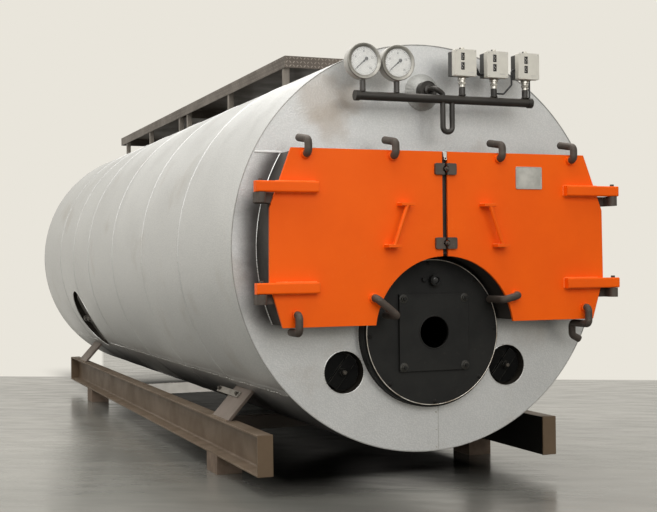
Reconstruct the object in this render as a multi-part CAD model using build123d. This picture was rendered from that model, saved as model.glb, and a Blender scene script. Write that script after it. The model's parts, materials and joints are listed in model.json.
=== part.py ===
from build123d import *
import os
from math import atan2, cos, degrees, hypot, radians, sin, sqrt

# Horizontal fire-tube boiler. Millimetres, front towards -Y, +Z up, origin on the floor under its middle.
# Every piece is drawn from the boiler axis (x, z) and from the front cladding (y), then set on the floor.

# Boiler body
casing_radius = 1000.0
insulation_thickness = 125.0
ring_widths = (1000.0, 900.0, 910.0, 920.0, 670.0, 670.0, 930.0)
cladding_sheet = 2.0
seat_gap = 0.4
shell_wall = 16.0
end_insulation = 80.0
tube_plate_thickness = 20.0
mat_count = 10
mat_start_angle = 12.0
mat_joint = 1.5

# Furnace and burner front
water_space = 119.0
furnace_radius = 345.0
furnace_wall = 14.0
collar_overlap = 21.0
collar_wall = 26.0
burner_plate_inset = 13.0
burner_plate_front = 69.0
burner_plate_thickness = 18.0
burner_plate_hole_radius = 84.0
flange_thickness = 14.0
burner_port_radius = 78.0
stud_pitch = 330.0
stud_margin = 21.0
stud_radius = 8.0
stud_length = 24.0
sight_port_x = 5.0
sight_port_drop = 17.5
sight_port_radius = 28.0
sight_port_length = 30.0
sight_glass_radius = 17.0
sight_glass_depth = 8.0

# Smoke tubes
tube_radius = 38.0
tube_wall = 4.0
tube_pitch = 122.0
tube_margin = 74.0
tube_bead = 4.0
plate_seam_rise = 30.0

# Smoke box
box_wall = 12.0
box_roof_drop = 427.0
box_floor_rise = 56.0
box_reach = 190.0
arch_gap = 12.0
cut_out_gap = 1.0
mullion_width = 80.0
mullion_depth = 50.0
mullion_setback = 6.0

# Doors
door_clearance = 6.0
door_thickness = 14.0
door_gap = 27.0
door_overlap = 7.0
door_side_overlap = 24.0
door_arch_cover = 10.0
knee_offsets = (-95.0, 22.0)
lining_thickness = 50.0
lining_clearance = 20.0
lining_centre_gap = 110.0
hinge_offset = 55.0
hinge_share = 0.22
bar_height = 50.0
bar_thickness = 40.0
bar_length = 274.0
bar_end = 26.0
bar_edge_radius = 7.0
pin_radius = 10.0
pin_clearance = 0.3
pin_head = 10.0
lug_height = 46.0
lug_gap = 1.0
lug_depth = 100.0
lug_boss_radius = 24.0

# Door clamps: a welded boss and a bent hook, given as runs along x, y and z from the boss
clamp_boss_radius = 22.0
clamp_boss_length = 16.0
clamp_neck = 22.0
clamp_rod_radius = 18.0
clamp_bend_radius = 21.0
top_clamp_inset = 27.0
top_clamp_offsets = ((223.0, 657.0), (638.0, 235.0))
top_clamp_runs = ((0.0, 0.0, 62.0), (0.0, 122.0, 20.0))
low_clamp_offsets = (171.0, 158.0)
low_clamp_shift = 19.5
low_clamp_under = 24.0
low_clamp_reach = (110.0, 150.0)
low_clamp_tail = ((0.0, 0.0, -62.0), (43.0, 0.0, -22.0))
arch_clamp_margin = 48.0
arch_clamp_angle = 25.0
arch_clamp_runs = (((105.0, 0.0, -85.0), (0.0, 140.0, 0.0)), ((-80.0, 0.0, -20.0), (0.0, 150.0, 0.0)))

# Handles and centre latches
handle_x = 252.5
handle_slant = 69.0
handle_height = 195.0
handle_share = 0.446
handle_standoff = 45.0
handle_radius = 10.0
handle_tab_width = 66.0
handle_tab_height = 14.0
latch_shares = (0.8242, 0.083)
latch_height = 55.0
latch_inner_x = 7.0
latch_outer_x = 56.0
latch_thickness = 15.0
latch_corner = 8.0
latch_notch_radius = 17.0
latch_stud_radius = 6.0
latch_nut_radius = 11.0
latch_nut_thickness = 10.0
hexagon = 6

# Hand holes in the front and the manhole in the side
hand_hole_gap = 11.0
hand_hole_angle = 22.4
hand_hole_radius = 103.0
hand_neck_radius = 88.0
hand_neck_depth = 40.0
hand_cover_radius = 72.0
hand_cover_depth = 34.0
yoke_length = 172.0
yoke_width = 54.0
yoke_angle = 52.0
yoke_thickness = 16.0
hand_nut_radius = 20.0
hand_nut_height = 18.0
manhole_from_rear = 1430.0
manhole_angle = 211.2
manhole_opening_radius = 264.0
manhole_neck_radius = 232.0
manhole_bore_radius = 190.0
manhole_neck_height = 70.0
manhole_cover_radius = 222.0
manhole_cover_thickness = 16.0
manhole_bar_width = 40.0
manhole_bar_height = 24.0

# Gauge line on top of the front
header_y = -150.0
header_rise = 265.0
header_left = -437.0
header_right = 517.0
header_radius = 21.0
header_cap_radius = 25.0
header_cap_length = 22.0
station_count = 6
station_pitch = 175.0
first_station_x = -395.0
nozzle_x = -15.0
nozzle_rise = 52.0
nozzle_radius = 45.0
nozzle_reach = 75.0
nozzle_opening_radius = 72.0
siphon_radius = 13.0
siphon_left_x = 24.0
siphon_spacing = 50.0
siphon_drop = 157.0
siphon_shoulder = 27.0
siphon_bend_radius = 24.0
elbow_bend_radius = 15.0
gauge_rise = 160.0
gauge_radius = 84.0
gauge_depth = 50.0
gauge_rim = 7.0
gauge_rim_depth = 8.0
gauge_stem_radius = 14.0
switch_rise = 176.0
switch_width = 116.0
switch_height = 128.0
switch_depth = 84.0
switch_front_depth = 34.0
switch_cover_inset = 5.0
switch_corner = 5.0
switch_stem_radius = 12.0
switch_neck_radius = 20.0
switch_cap_radius = 12.0
switch_cap_height = 14.0
window_width = 20.0
window_height = 36.0
window_depth = 4.0
window_x = -16.0
window_heights = (29.0, -17.0)
lead_radius = 4.5
lead_bend_radius = 12.0
lead_rows = (10.0, 26.0)
lead_start = 8.0
lead_fall = 45.0
lead_run = 20.0
loop_lead_heights = (40.0, 40.0, 87.0, 159.0)
loop_lead_stations = (43.0, 22.0)

# Walkway on top
walkway_half_width = 270.0
walkway_rise = 151.0
walkway_rim = 69.0
walkway_plate = 6.0
walkway_front = 1288.0
rear_tray_length = 2255.0
walkway_joint_gap = 4.0
post_side = 34.0
post_insets = ((52.0, 185.0), (55.0, 220.0))
post_middle_shifts = (18.0, 33.0)

# Base frame
belly_clearance = 94.0
foot_height = 101.0
channel_height = 200.0
channel_width = 78.0
channel_web = 9.0
channel_flange_root = 14.0
channel_flange_tip = 9.0
channel_root_radius = 11.0
channel_inner_x = 752.0
channel_front = 166.0
channel_rear_inset = 406.0
end_plate_thickness = 10.0
tie_rows = (1760.0, 4000.0)
tie_gap = 10.0
tie_width = 45.0
tie_wall = 8.0
leg_inset = 870.0
leg_width = 290.0
leg_thickness = 16.0
leg_foot_inset = 48.0
leg_slot_gap = 3.0
strap_length = 380.0
strap_width = 36.0
strap_thickness = 10.0
strap_front_inset = 115.0
strap_clearance = 30.0
foot_insets = (794.0, 929.0)
foot_width = 140.0
foot_length = 200.0

# Flue outlet at the rear
flue_margin = 215.0
flue_radius = 230.0
flue_wall = 6.0
flue_reach = 150.0
flue_flange_width = 45.0
flue_flange_thickness = 12.0
flue_bolt_count = 12
flue_bolt_radius = 9.0

# Values that follow from the sizes above: casing, drum and furnace
casing_length = sum(ring_widths)
cladding_inner = casing_radius - cladding_sheet
end_disc_radius = cladding_inner - seat_gap
shell_radius = casing_radius - insulation_thickness
shell_rear = casing_length - end_insulation
furnace_drop = shell_radius - water_space - furnace_radius
plate_seam = furnace_radius + plate_seam_rise - furnace_drop
collar_radius = furnace_radius + collar_overlap
burner_plate_radius = collar_radius - burner_plate_inset
flange_side = stud_pitch + 2 * stud_margin
flange_front = -burner_plate_front - flange_thickness
sight_port_rise = (flange_side / 2 + burner_plate_radius) / 2 - sight_port_drop
hand_hole_reach = collar_radius + hand_hole_gap + hand_hole_radius
hand_hole_x = hand_hole_reach * cos(radians(hand_hole_angle))
hand_hole_drop = furnace_drop + hand_hole_reach * sin(radians(hand_hole_angle))
manhole_y = casing_length - manhole_from_rear
flue_rise = shell_radius - flue_radius - flue_margin

# Smoke box and doors
box_top = shell_radius - box_roof_drop
box_bottom = box_floor_rise - furnace_drop
box_front = -box_reach
arch_inner_radius = collar_radius + arch_gap
arch_outer_radius = arch_inner_radius + box_wall
door_back = box_front - door_clearance
door_front = door_back - door_thickness
door_top = box_top + door_overlap
door_bottom = box_bottom - door_overlap
door_side_radius = shell_radius + door_side_overlap
door_arch_radius = arch_inner_radius - door_arch_cover
hinge_x = shell_radius + hinge_offset
hinge_y = door_front - bar_thickness / 2
hinge_inset = hinge_share * (door_top - door_bottom)
hinge_heights = (door_top - hinge_inset, door_bottom + hinge_inset)
clamp_boss_front = door_front - clamp_boss_length
top_clamp_height = door_top - top_clamp_inset
low_clamp_height = (hinge_heights[1] - bar_height / 2 + door_bottom) / 2 - low_clamp_shift
arch_clamp_reach = door_arch_radius + arch_clamp_margin
arch_clamp_x = arch_clamp_reach * cos(radians(arch_clamp_angle))
arch_clamp_height = arch_clamp_reach * sin(radians(arch_clamp_angle)) - furnace_drop
handle_foot_x = handle_x + handle_slant / 2
handle_low_edge = sqrt(door_arch_radius ** 2 - handle_foot_x ** 2) - furnace_drop
handle_middle = handle_low_edge + handle_share * (door_top - handle_low_edge)
latch_foot = arch_outer_radius - furnace_drop
latch_heights = [latch_foot + share * (door_top - latch_foot) for share in latch_shares]

# Gauge line, walkway and base
header_z = box_top + header_rise
nozzle_z = header_z + nozzle_rise
siphon_bottom_z = header_z - siphon_drop
siphon_shoulder_z = header_z + siphon_shoulder
walkway_top = casing_radius + walkway_rise
walkway_rear = casing_length
walkway_joint = walkway_rear - rear_tray_length
channel_bottom = -casing_radius - belly_clearance
channel_top = channel_bottom + channel_height
channel_rear = casing_length - channel_rear_inset
tie_height = belly_clearance - tie_gap
leg_rows = (leg_inset, casing_length - leg_inset)
leg_foot_x = channel_inner_x + leg_foot_inset
leg_tilt = degrees(atan2(-channel_top, leg_foot_x))
foot_rows = (channel_front + foot_insets[0], channel_rear - foot_insets[1])
axis_height = foot_height - channel_bottom
floor_z = -axis_height
front_reach = handle_standoff + handle_radius - door_front
origin_y = (casing_length + flue_reach - front_reach) / 2
on_floor = Location((0, -origin_y, axis_height))
wide = 4 * casing_radius


def prism(outline, y_start, y_end):
    """A flat outline in x and z, drawn out along y."""
    return extrude(Plane.XZ.offset(-y_end) * outline, amount=y_end - y_start, dir=(0, -1, 0))


def band(low_z, high_z):
    """A wide strip of the x-z plane between two heights."""
    return Pos(0, (low_z + high_z) / 2) * Rectangle(wide, high_z - low_z)


def block(x_range, y_range, z_range):
    """A plain block between two limits along each axis."""
    middle = Pos(sum(x_range) / 2, sum(z_range) / 2)
    return prism(middle * Rectangle(x_range[1] - x_range[0], z_range[1] - z_range[0]), *y_range)


def rod(start, end, radius):
    """A round bar from one point to another."""
    way = Vector(*end) - Vector(*start)
    return Solid.make_cylinder(radius, way.length, Plane(origin=start, z_dir=way))


def bent_rod(points, radius, bend):
    """A round bar along straight runs with rounded corners."""
    path = FilletPolyline(*points, radius=bend)
    section = Plane(origin=path @ 0, z_dir=path % 0) * Circle(radius)
    return sweep(section, path=path)


def radial_plane(angle, y):
    """A plane on the boiler axis that faces outwards at an angle from +X."""
    return Plane(origin=(0, y, 0), x_dir=(0, 1, 0), z_dir=(cos(radians(angle)), 0, sin(radians(angle))))


def mirrored(shape):
    """The same piece on the other side of the boiler."""
    return mirror(shape, about=Plane.YZ)


furnace_circle = Pos(0, -furnace_drop)
box_cut_out = Circle(shell_radius + cut_out_gap) & band(box_bottom - cut_out_gap, box_top + cut_out_gap)
nozzle_opening = Pos(nozzle_x, nozzle_z) * Circle(nozzle_opening_radius)
hand_places = [Pos(side * hand_hole_x, -hand_hole_drop) for side in (-1, 1)]
hand_openings = Sketch() + [place * Circle(hand_hole_radius) for place in hand_places]
manhole_plane = radial_plane(manhole_angle, manhole_y)
manhole_opening = Solid.make_cylinder(manhole_opening_radius, 2 * casing_radius, manhole_plane)


def make_legs(thickness, width, inner_radius, low_z):
    """Radial plates under the shell, standing on the base channels."""
    reach = hypot(channel_top, leg_foot_x) + leg_width
    legs = []
    for row in leg_rows:
        for angle in (180 + leg_tilt, -leg_tilt):
            plate = Rectangle(width, thickness)
            leg = extrude(radial_plane(angle, row).offset(inner_radius) * plate, amount=reach - inner_radius)
            legs.append(leg & block((-wide, wide), (0, casing_length), (low_z, 0)))
    return legs


leg_slots = make_legs(leg_thickness + 2 * leg_slot_gap, leg_width + 2 * leg_slot_gap, shell_wall, floor_z)


def cladding_rings():
    """Bright sheet rings round the casing, one for each width of sheet."""
    rings = []
    start = 0.0
    for width in ring_widths:
        ring = Circle(casing_radius) - Circle(cladding_inner)
        tube = prism(ring, start + seat_gap / 2, start + width - seat_gap / 2) - manhole_opening
        for slot in leg_slots:
            tube = tube - slot
        rings.append(tube)
        start += width
    return rings


def insulation_mats():
    """Mats laid round the drum, side by side."""
    step = 360.0 / mat_count
    joint = degrees(mat_joint / shell_radius)
    inner = shell_radius + seat_gap
    ends = (cladding_sheet + seat_gap, casing_length - cladding_sheet - seat_gap)
    mats = []
    for index in range(mat_count):
        start = mat_start_angle + index * step + joint / 2
        arcs = [CenterArc((0, 0), radius, start, step - joint) for radius in (inner, end_disc_radius)]
        sides = [Line(arcs[0] @ end, arcs[1] @ end) for end in (0, 1)]
        mat = prism(make_face([*arcs, *sides]), *ends) - manhole_opening
        for slot in leg_slots:
            mat = mat - slot
        mats.append(mat)
    return mats


def front_insulation():
    """Slabs before the front tube plate, above and below the smoke box."""
    disc = Circle(shell_radius - seat_gap)
    upper = (disc & band(box_top + cut_out_gap, casing_radius)) - nozzle_opening
    lower = (disc & band(-casing_radius, box_bottom - cut_out_gap)) - hand_openings
    lower = lower - furnace_circle * Circle(collar_radius + seat_gap)
    return [prism(slab, cladding_sheet + seat_gap, end_insulation - seat_gap) for slab in (upper, lower)]


def rear_insulation():
    """The slab behind the rear tube plate, round the flue."""
    disc = Circle(shell_radius - seat_gap) - Pos(0, flue_rise) * Circle(flue_radius + seat_gap)
    return prism(disc, shell_rear + seat_gap, casing_length - cladding_sheet - seat_gap)


def pressure_shell():
    """The steel drum between the two tube plates."""
    return prism(Circle(shell_radius) - Circle(shell_radius - shell_wall), end_insulation, shell_rear)


def rear_tube_plate():
    """The rear end plate, set into the drum."""
    return prism(Circle(shell_radius - shell_wall - seat_gap), shell_rear - tube_plate_thickness, shell_rear)


def tube_places():
    """Centres of the smoke tubes: staggered rows between the plate's seam and the smoke box's roof."""
    high = box_top - box_wall - tube_margin
    low = plate_seam + tube_margin
    side = shell_radius - shell_wall - tube_margin
    row_step = tube_pitch * sin(radians(60))
    places = []
    for row in range(int((high - low) / row_step) + 1):
        z = high - row * row_step
        shift = tube_pitch / 2 * (row % 2)
        columns = int((sqrt(side ** 2 - z ** 2) - shift) / tube_pitch)
        reaches = [shift + tube_pitch * column for column in range(columns + 1)]
        for x in sorted({sign * reach for reach in reaches for sign in (-1, 1)}):
            if hypot(x, z + furnace_drop) > arch_outer_radius + tube_margin:
                places.append(Pos(x, z))
    return places


def front_tube_plate():
    """The front plate in two welded halves: one drilled for the tubes, one open for the furnace."""
    disc = Circle(shell_radius - shell_wall - seat_gap)
    tube_holes = [place * Circle(tube_radius + seat_gap) for place in tube_places()]
    upper = (disc & band(plate_seam + seat_gap / 2, casing_radius)) - tube_holes
    lower = disc & band(-casing_radius, plate_seam - seat_gap / 2)
    lower = lower - furnace_circle * Circle(furnace_radius + seat_gap)
    return [prism(half, end_insulation, end_insulation + tube_plate_thickness) for half in (upper, lower)]


def smoke_tubes():
    """Tubes from the front plate to the rear plate, each standing a little proud in front."""
    ring = Circle(tube_radius) - Circle(tube_radius - tube_wall)
    rear = shell_rear - tube_plate_thickness - seat_gap
    return [prism(place * ring, end_insulation - tube_bead, rear) for place in tube_places()]


def furnace_tube():
    """The fire tube between the tube plates."""
    ring = furnace_circle * (Circle(furnace_radius) - Circle(furnace_radius - furnace_wall))
    return prism(ring, end_insulation, shell_rear - tube_plate_thickness - seat_gap)


def front_cladding():
    """An upper front sheet and two lower ones that meet under the burner."""
    disc = Circle(end_disc_radius)
    seam = box_top + cut_out_gap
    upper = (disc & band(seam + seat_gap, casing_radius)) - nozzle_opening
    lower = (disc & band(-casing_radius, seam - seat_gap)) - box_cut_out - hand_openings
    lower = lower - furnace_circle * Circle(collar_radius + cut_out_gap) - Rectangle(seat_gap, wide)
    return [prism(sheet, 0, cladding_sheet) for sheet in (upper, lower)]


def rear_cladding():
    """The rear sheet with its opening for the flue."""
    disc = Circle(end_disc_radius) - Pos(0, flue_rise) * Circle(flue_radius + cut_out_gap)
    return prism(disc, casing_length - cladding_sheet, casing_length)


def flue_outlet():
    """A flanged round collar where the flue gas leaves."""
    place = Pos(0, flue_rise)
    collar = prism(place * (Circle(flue_radius) - Circle(flue_radius - flue_wall)), shell_rear + seat_gap,
                   casing_length + flue_reach)
    ring = place * (Circle(flue_radius + flue_flange_width) - Circle(flue_radius - flue_wall))
    bolt_circle = PolarLocations(flue_radius + flue_flange_width / 2, flue_bolt_count)
    ring = ring - [place * spot * Circle(flue_bolt_radius) for spot in bolt_circle]
    return collar + prism(ring, casing_length + flue_reach - flue_flange_thickness, casing_length + flue_reach)


def smoke_box_sides():
    """Curved side walls that carry the drum's outline forward."""
    ring = Circle(shell_radius) - Circle(shell_radius - box_wall)
    return prism(ring & band(box_bottom, box_top), box_front, end_insulation - seat_gap)


def smoke_box_top():
    """The flat roof of the smoke box."""
    inside = Circle(shell_radius - box_wall - seat_gap)
    return prism(inside & band(box_top - box_wall, box_top), box_front, end_insulation - seat_gap)


def smoke_box_floors():
    """Flat floors on both sides of the burner arch."""
    inside = Circle(shell_radius - box_wall - seat_gap) - furnace_circle * Circle(arch_outer_radius + seat_gap)
    return prism(inside & band(box_bottom, box_bottom + box_wall), box_front, end_insulation - seat_gap)


def smoke_box_arch():
    """The arched wall over the burner front."""
    ring = furnace_circle * (Circle(arch_outer_radius) - Circle(arch_inner_radius))
    return prism(ring & band(box_bottom, box_top), box_front, end_insulation - seat_gap)


def smoke_box_mullion():
    """The upright behind the gap between the doors."""
    outline = Rectangle(mullion_width, wide) & band(-furnace_drop, box_top - box_wall - seat_gap)
    outline = outline - furnace_circle * Circle(arch_outer_radius + seat_gap)
    front = box_front + mullion_setback
    return prism(outline, front, front + mullion_depth)


def latch_studs():
    """Studs with nuts that stand out of the upright, one for each latch."""
    studs = []
    foot = box_front + mullion_setback - seat_gap
    nut_back = door_front - latch_thickness
    for height in latch_heights:
        place = Pos(0, height)
        stud = prism(place * Circle(latch_stud_radius), nut_back - 2 * latch_nut_thickness, foot)
        nut = prism(place * RegularPolygon(latch_nut_radius, hexagon), nut_back - latch_nut_thickness, nut_back)
        studs.append(stud + nut)
    return studs


def hinge_lugs():
    """Brackets on the smoke box sides, under the hinge eyes."""
    back = door_back + door_clearance
    root = shell_radius - lug_depth
    outline = Polygon((root, back), (hinge_x - lug_boss_radius, back), (hinge_x - lug_boss_radius, hinge_y),
                      (hinge_x + lug_boss_radius, hinge_y), (hinge_x + lug_boss_radius, back),
                      (hinge_x - lug_boss_radius, back + lug_depth), (root, back + lug_depth), align=None)
    outline = outline + Pos(hinge_x, hinge_y) * Circle(lug_boss_radius)
    drum = prism(Circle(shell_radius + seat_gap), box_front - lug_depth, end_insulation)
    lugs = []
    for height in hinge_heights:
        top = height - bar_height / 2 - lug_gap
        lug = extrude(Plane.XY.offset(top - lug_height) * outline, amount=lug_height, dir=(0, 0, 1))
        lugs.append(lug - drum)
    return lugs + [mirrored(lug) for lug in lugs]


def hinge_pins():
    """Upright pins that stand on the lugs and pass through the hinge eyes."""
    pins = []
    for height in hinge_heights:
        foot = (hinge_x, hinge_y, height - bar_height / 2 - lug_gap)
        pins.append(rod(foot, (hinge_x, hinge_y, height + bar_height / 2 + pin_head), pin_radius))
    return pins + [mirrored(pin) for pin in pins]


def door_plate():
    """The right door's flat plate: corners on a circle just outside the smoke box, cut away over the burner."""
    edge = door_gap / 2
    knees = [height + offset for height, offset in zip(hinge_heights, knee_offsets)]
    heights = (door_top, *knees, door_bottom)
    corners = [(sqrt(door_side_radius ** 2 - height ** 2), height) for height in heights]
    outline = Polygon((edge, door_top), *corners, (edge, door_bottom), align=None)
    return prism(outline - furnace_circle * Circle(door_arch_radius), door_front, door_back)


def clamps_of(side):
    """Boss place and hook runs of the four clamps on the left (0) or right (1) door."""
    way = (-1, 1)[side]
    under = low_clamp_height - door_bottom + low_clamp_under
    low_runs = [(0, 0, -under), (0, low_clamp_reach[side], 0)]
    if side:
        low_runs += low_clamp_tail
    places = []
    for offset in top_clamp_offsets[side]:
        places.append(((way * (hinge_x - offset), top_clamp_height), top_clamp_runs))
    places.append(((way * (hinge_x - low_clamp_offsets[side]), low_clamp_height), low_runs))
    places.append(((way * arch_clamp_x, arch_clamp_height), arch_clamp_runs[side]))
    return places


def door_panel(side):
    """One door with the clamp bosses that are welded to it."""
    panel = door_plate() if side else mirrored(door_plate())
    for place, runs in clamps_of(side):
        panel = panel + prism(Pos(*place) * Circle(clamp_boss_radius), clamp_boss_front, door_front)
    return panel


def door_lining():
    """The heat lining on the back of the right door."""
    outline = Circle(shell_radius - box_wall - lining_clearance)
    outline = outline & band(box_bottom + box_wall + lining_clearance, box_top - box_wall - lining_clearance)
    outline = outline - furnace_circle * Circle(arch_outer_radius + lining_clearance)
    outline = outline & Pos(wide / 2 + lining_centre_gap / 2, 0) * Rectangle(wide, wide)
    return prism(outline, door_back, door_back + lining_thickness)


def hinge_bars():
    """Bars across the right door, bored at their ends for the hinge pins."""
    bar_depth = (door_front - bar_thickness, door_front)
    bars = []
    for height in hinge_heights:
        low = height - bar_height / 2
        high = height + bar_height / 2
        bar = block((hinge_x - bar_length, hinge_x + bar_end), bar_depth, (low, high))
        bar = fillet(bar.edges().filter_by(Axis.X).group_by(Axis.Y)[0], bar_edge_radius)
        bars.append(bar - rod((hinge_x, hinge_y, low), (hinge_x, hinge_y, high), pin_radius + pin_clearance))
    return bars


def clamp_hook(place, runs):
    """A round bar out of a boss, bent along its runs."""
    x, z = place
    points = [Vector(x, clamp_boss_front, z), Vector(x, clamp_boss_front - clamp_neck, z)]
    for run in runs:
        points.append(points[-1] + Vector(*run))
    return bent_rod(points, clamp_rod_radius, clamp_bend_radius)


def clamps(side):
    """The four clamp hooks of one door and its halves of the centre latches."""
    pieces = [clamp_hook(place, runs) for place, runs in clamps_of(side)]
    depth = (door_front - latch_thickness, door_front)
    for height in latch_heights:
        upright = (height - latch_height / 2, height + latch_height / 2)
        half = block((latch_inner_x, latch_outer_x), depth, upright)
        half = fillet(half.edges().filter_by(Axis.Y).group_by(Axis.X)[-1], latch_corner)
        half = half - prism(Pos(0, height) * Circle(latch_notch_radius), *depth)
        pieces.append(half if side else mirrored(half))
    return pieces


def handle():
    """The slanted pull on the right door: a round bar between two flat tabs."""
    grip_y = door_front - handle_standoff
    ends = []
    for way in (-1, 1):
        ends.append((handle_x - way * handle_slant / 2, grip_y, handle_middle + way * handle_height / 2))
    pull = rod(*ends, handle_radius)
    for x, _, z in ends:
        tab = Pos(x, z) * Rectangle(handle_tab_width, handle_tab_height)
        pull = pull + prism(tab, grip_y - handle_radius, door_front)
    return pull


def burner_collar():
    """The ring that carries the burner plate before the furnace."""
    ring = furnace_circle * (Circle(collar_radius) - Circle(collar_radius - collar_wall))
    return prism(ring, -burner_plate_front + burner_plate_thickness, end_insulation - seat_gap)


def burner_plate():
    """The round black plate over the furnace."""
    disc = furnace_circle * (Circle(burner_plate_radius) - Circle(burner_plate_hole_radius))
    return prism(disc, -burner_plate_front, -burner_plate_front + burner_plate_thickness)


def burner_flange():
    """The square plate with the burner port and four studs."""
    square = furnace_circle * (Rectangle(flange_side, flange_side) - Circle(burner_port_radius))
    flange = prism(square, flange_front, -burner_plate_front)
    for x in (-stud_pitch / 2, stud_pitch / 2):
        for z in (-stud_pitch / 2, stud_pitch / 2):
            stud = furnace_circle * Pos(x, z) * Circle(stud_radius)
            flange = flange + prism(stud, flange_front - stud_length, flange_front)
    return flange


def sight_port():
    """A short tube with a glass for watching the flame."""
    place = Pos(sight_port_x, sight_port_rise - furnace_drop)
    front = -burner_plate_front - sight_port_length
    tube = prism(place * Circle(sight_port_radius), front, -burner_plate_front)
    return tube - prism(place * Circle(sight_glass_radius), front, front + sight_glass_depth)


def hand_hole_covers():
    """Necks on the tube plate, each closed by a cover under a yoke."""
    covers = []
    for place in hand_places:
        neck = prism(place * (Circle(hand_neck_radius) - Circle(hand_cover_radius)), hand_neck_depth,
                     end_insulation - seat_gap)
        cover = prism(place * Circle(hand_neck_radius), hand_cover_depth, hand_neck_depth)
        yoke_front = hand_cover_depth - yoke_thickness
        bar = Rot(0, 0, yoke_angle) * Rectangle(yoke_length, yoke_width)
        yoke = prism(place * bar, yoke_front, hand_cover_depth)
        nut = prism(place * RegularPolygon(hand_nut_radius, hexagon), yoke_front - hand_nut_height, yoke_front)
        covers.append(neck + cover + yoke + nut)
    return covers


def manhole():
    """A round neck on the side of the drum with its cover and crossbar."""
    drum = prism(Circle(shell_radius + seat_gap), 0, casing_length)
    neck_top = shell_radius + manhole_neck_height
    neck = Solid.make_cylinder(manhole_neck_radius, neck_top, manhole_plane)
    neck = neck - Solid.make_cylinder(manhole_bore_radius, neck_top, manhole_plane) - drum
    lid_plane = manhole_plane.offset(neck_top + seat_gap)
    lid = Solid.make_cylinder(manhole_cover_radius, manhole_cover_thickness, lid_plane)
    bar_plane = lid_plane.offset(manhole_cover_thickness)
    bar = extrude(bar_plane * Rectangle(2 * manhole_cover_radius, manhole_bar_width), amount=manhole_bar_height)
    return [neck, lid + bar]


def stations():
    """Where the instruments stand along the header."""
    return [first_station_x + station_pitch * index for index in range(station_count)]


def gauge_header():
    """The instrument header with its nozzle and the looped siphon pipe."""
    start = (header_left, header_y, header_z)
    end = (header_right, header_y, header_z)
    pipe = rod(start, end, header_radius)
    pipe = pipe + rod(start, (header_left + header_cap_length, header_y, header_z), header_cap_radius)
    pipe = pipe + rod((header_right - header_cap_length, header_y, header_z), end, header_cap_radius)
    nozzle_foot = (nozzle_x, end_insulation - seat_gap, nozzle_z)
    pipe = pipe + rod(nozzle_foot, (nozzle_x, -nozzle_reach, nozzle_z), nozzle_radius)
    right_x = siphon_left_x + siphon_spacing
    left_x = siphon_left_x
    loop = [(nozzle_x, 0, nozzle_z), (nozzle_x, header_y, nozzle_z), (left_x, header_y, siphon_shoulder_z),
            (left_x, header_y, siphon_bottom_z), (right_x, header_y, siphon_bottom_z),
            (right_x, header_y, header_z)]
    bends = [elbow_bend_radius, elbow_bend_radius, siphon_bend_radius, siphon_bend_radius]
    path = FilletPolyline(*loop, radius=bends)
    section = Plane(origin=path @ 0, z_dir=path % 0) * Circle(siphon_radius)
    return pipe + sweep(section, path=path)


def pressure_gauge(x):
    """A round dial on a stem from the header."""
    centre_z = header_z + gauge_rise
    back = header_y + gauge_depth / 2
    front = back - gauge_depth
    place = Pos(x, centre_z)
    case = prism(place * Circle(gauge_radius), front, back)
    case = case - prism(place * Circle(gauge_radius - gauge_rim), front, front + gauge_rim_depth)
    stem_top = (x, header_y, centre_z - gauge_radius + gauge_rim)
    return case + rod((x, header_y, header_z + header_radius), stem_top, gauge_stem_radius)


def pressure_switch(x):
    """A switch box on a threaded neck, with two scale windows in its cover and a cap on top."""
    low = header_z + switch_rise - switch_height / 2
    high = low + switch_height
    back = header_y + switch_depth / 2
    front = back - switch_depth
    half = switch_width / 2
    inset = switch_cover_inset
    back_half = half - inset
    body = block((x - back_half, x + back_half), (front + switch_front_depth, back), (low + inset, high - inset))
    cover = block((x - half, x + half), (front, front + switch_front_depth), (low, high))
    cover = fillet(cover.edges().filter_by(Axis.Y), switch_corner)
    for height in window_heights:
        window = Pos(x + window_x, header_z + switch_rise + height) * Rectangle(window_width, window_height)
        cover = cover - prism(window, front, front + window_depth)
    seat = (x, header_y, low + 2 * inset)
    neck = rod((x, header_y, header_z + header_radius), seat, switch_stem_radius)
    nut = rod((x, header_y, low + inset - switch_neck_radius), seat, switch_neck_radius)
    cap = rod((x, header_y, high - 2 * inset), (x, header_y, high + switch_cap_height), switch_cap_radius)
    return body + cover + neck + nut + cap


def switch_leads():
    """Leads between the switch boxes, and one from the last box down to the header."""
    first, second, third = stations()[-3:]
    side = switch_width / 2 - switch_cover_inset
    middle = header_z + switch_rise
    leads = []
    for row in lead_rows:
        y = header_y + row
        high = middle + lead_start
        low = middle - lead_fall
        points = [(first + side, y, high), (first + side + lead_run, y, high),
                  (second - side - lead_run, y, low), (second - side, y, low)]
        leads.append(bent_rod(points, lead_radius, lead_bend_radius))
    heights = [header_z + height for height in loop_lead_heights]
    bend_x = third - side - loop_lead_stations[1]
    start_x = second + switch_stem_radius + seat_gap
    loop_x = (start_x, start_x + loop_lead_stations[0], bend_x, bend_x, third - side)
    loop_z = (*heights, heights[-1])
    loop = [(x, header_y, z) for x, z in zip(loop_x, loop_z)]
    leads.append(bent_rod(loop, lead_radius, lead_bend_radius))
    drop_x = header_right - header_cap_length / 2
    foot = (drop_x, header_y, header_z + header_cap_radius)
    leads.append(rod(foot, (drop_x, header_y, middle - switch_height / 2 + switch_cover_inset), lead_radius))
    return leads


def walkway_trays():
    """Where each tray starts and ends along the boiler."""
    joint = walkway_joint_gap / 2
    return (walkway_front, walkway_joint - joint), (walkway_joint + joint, walkway_rear)


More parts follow.
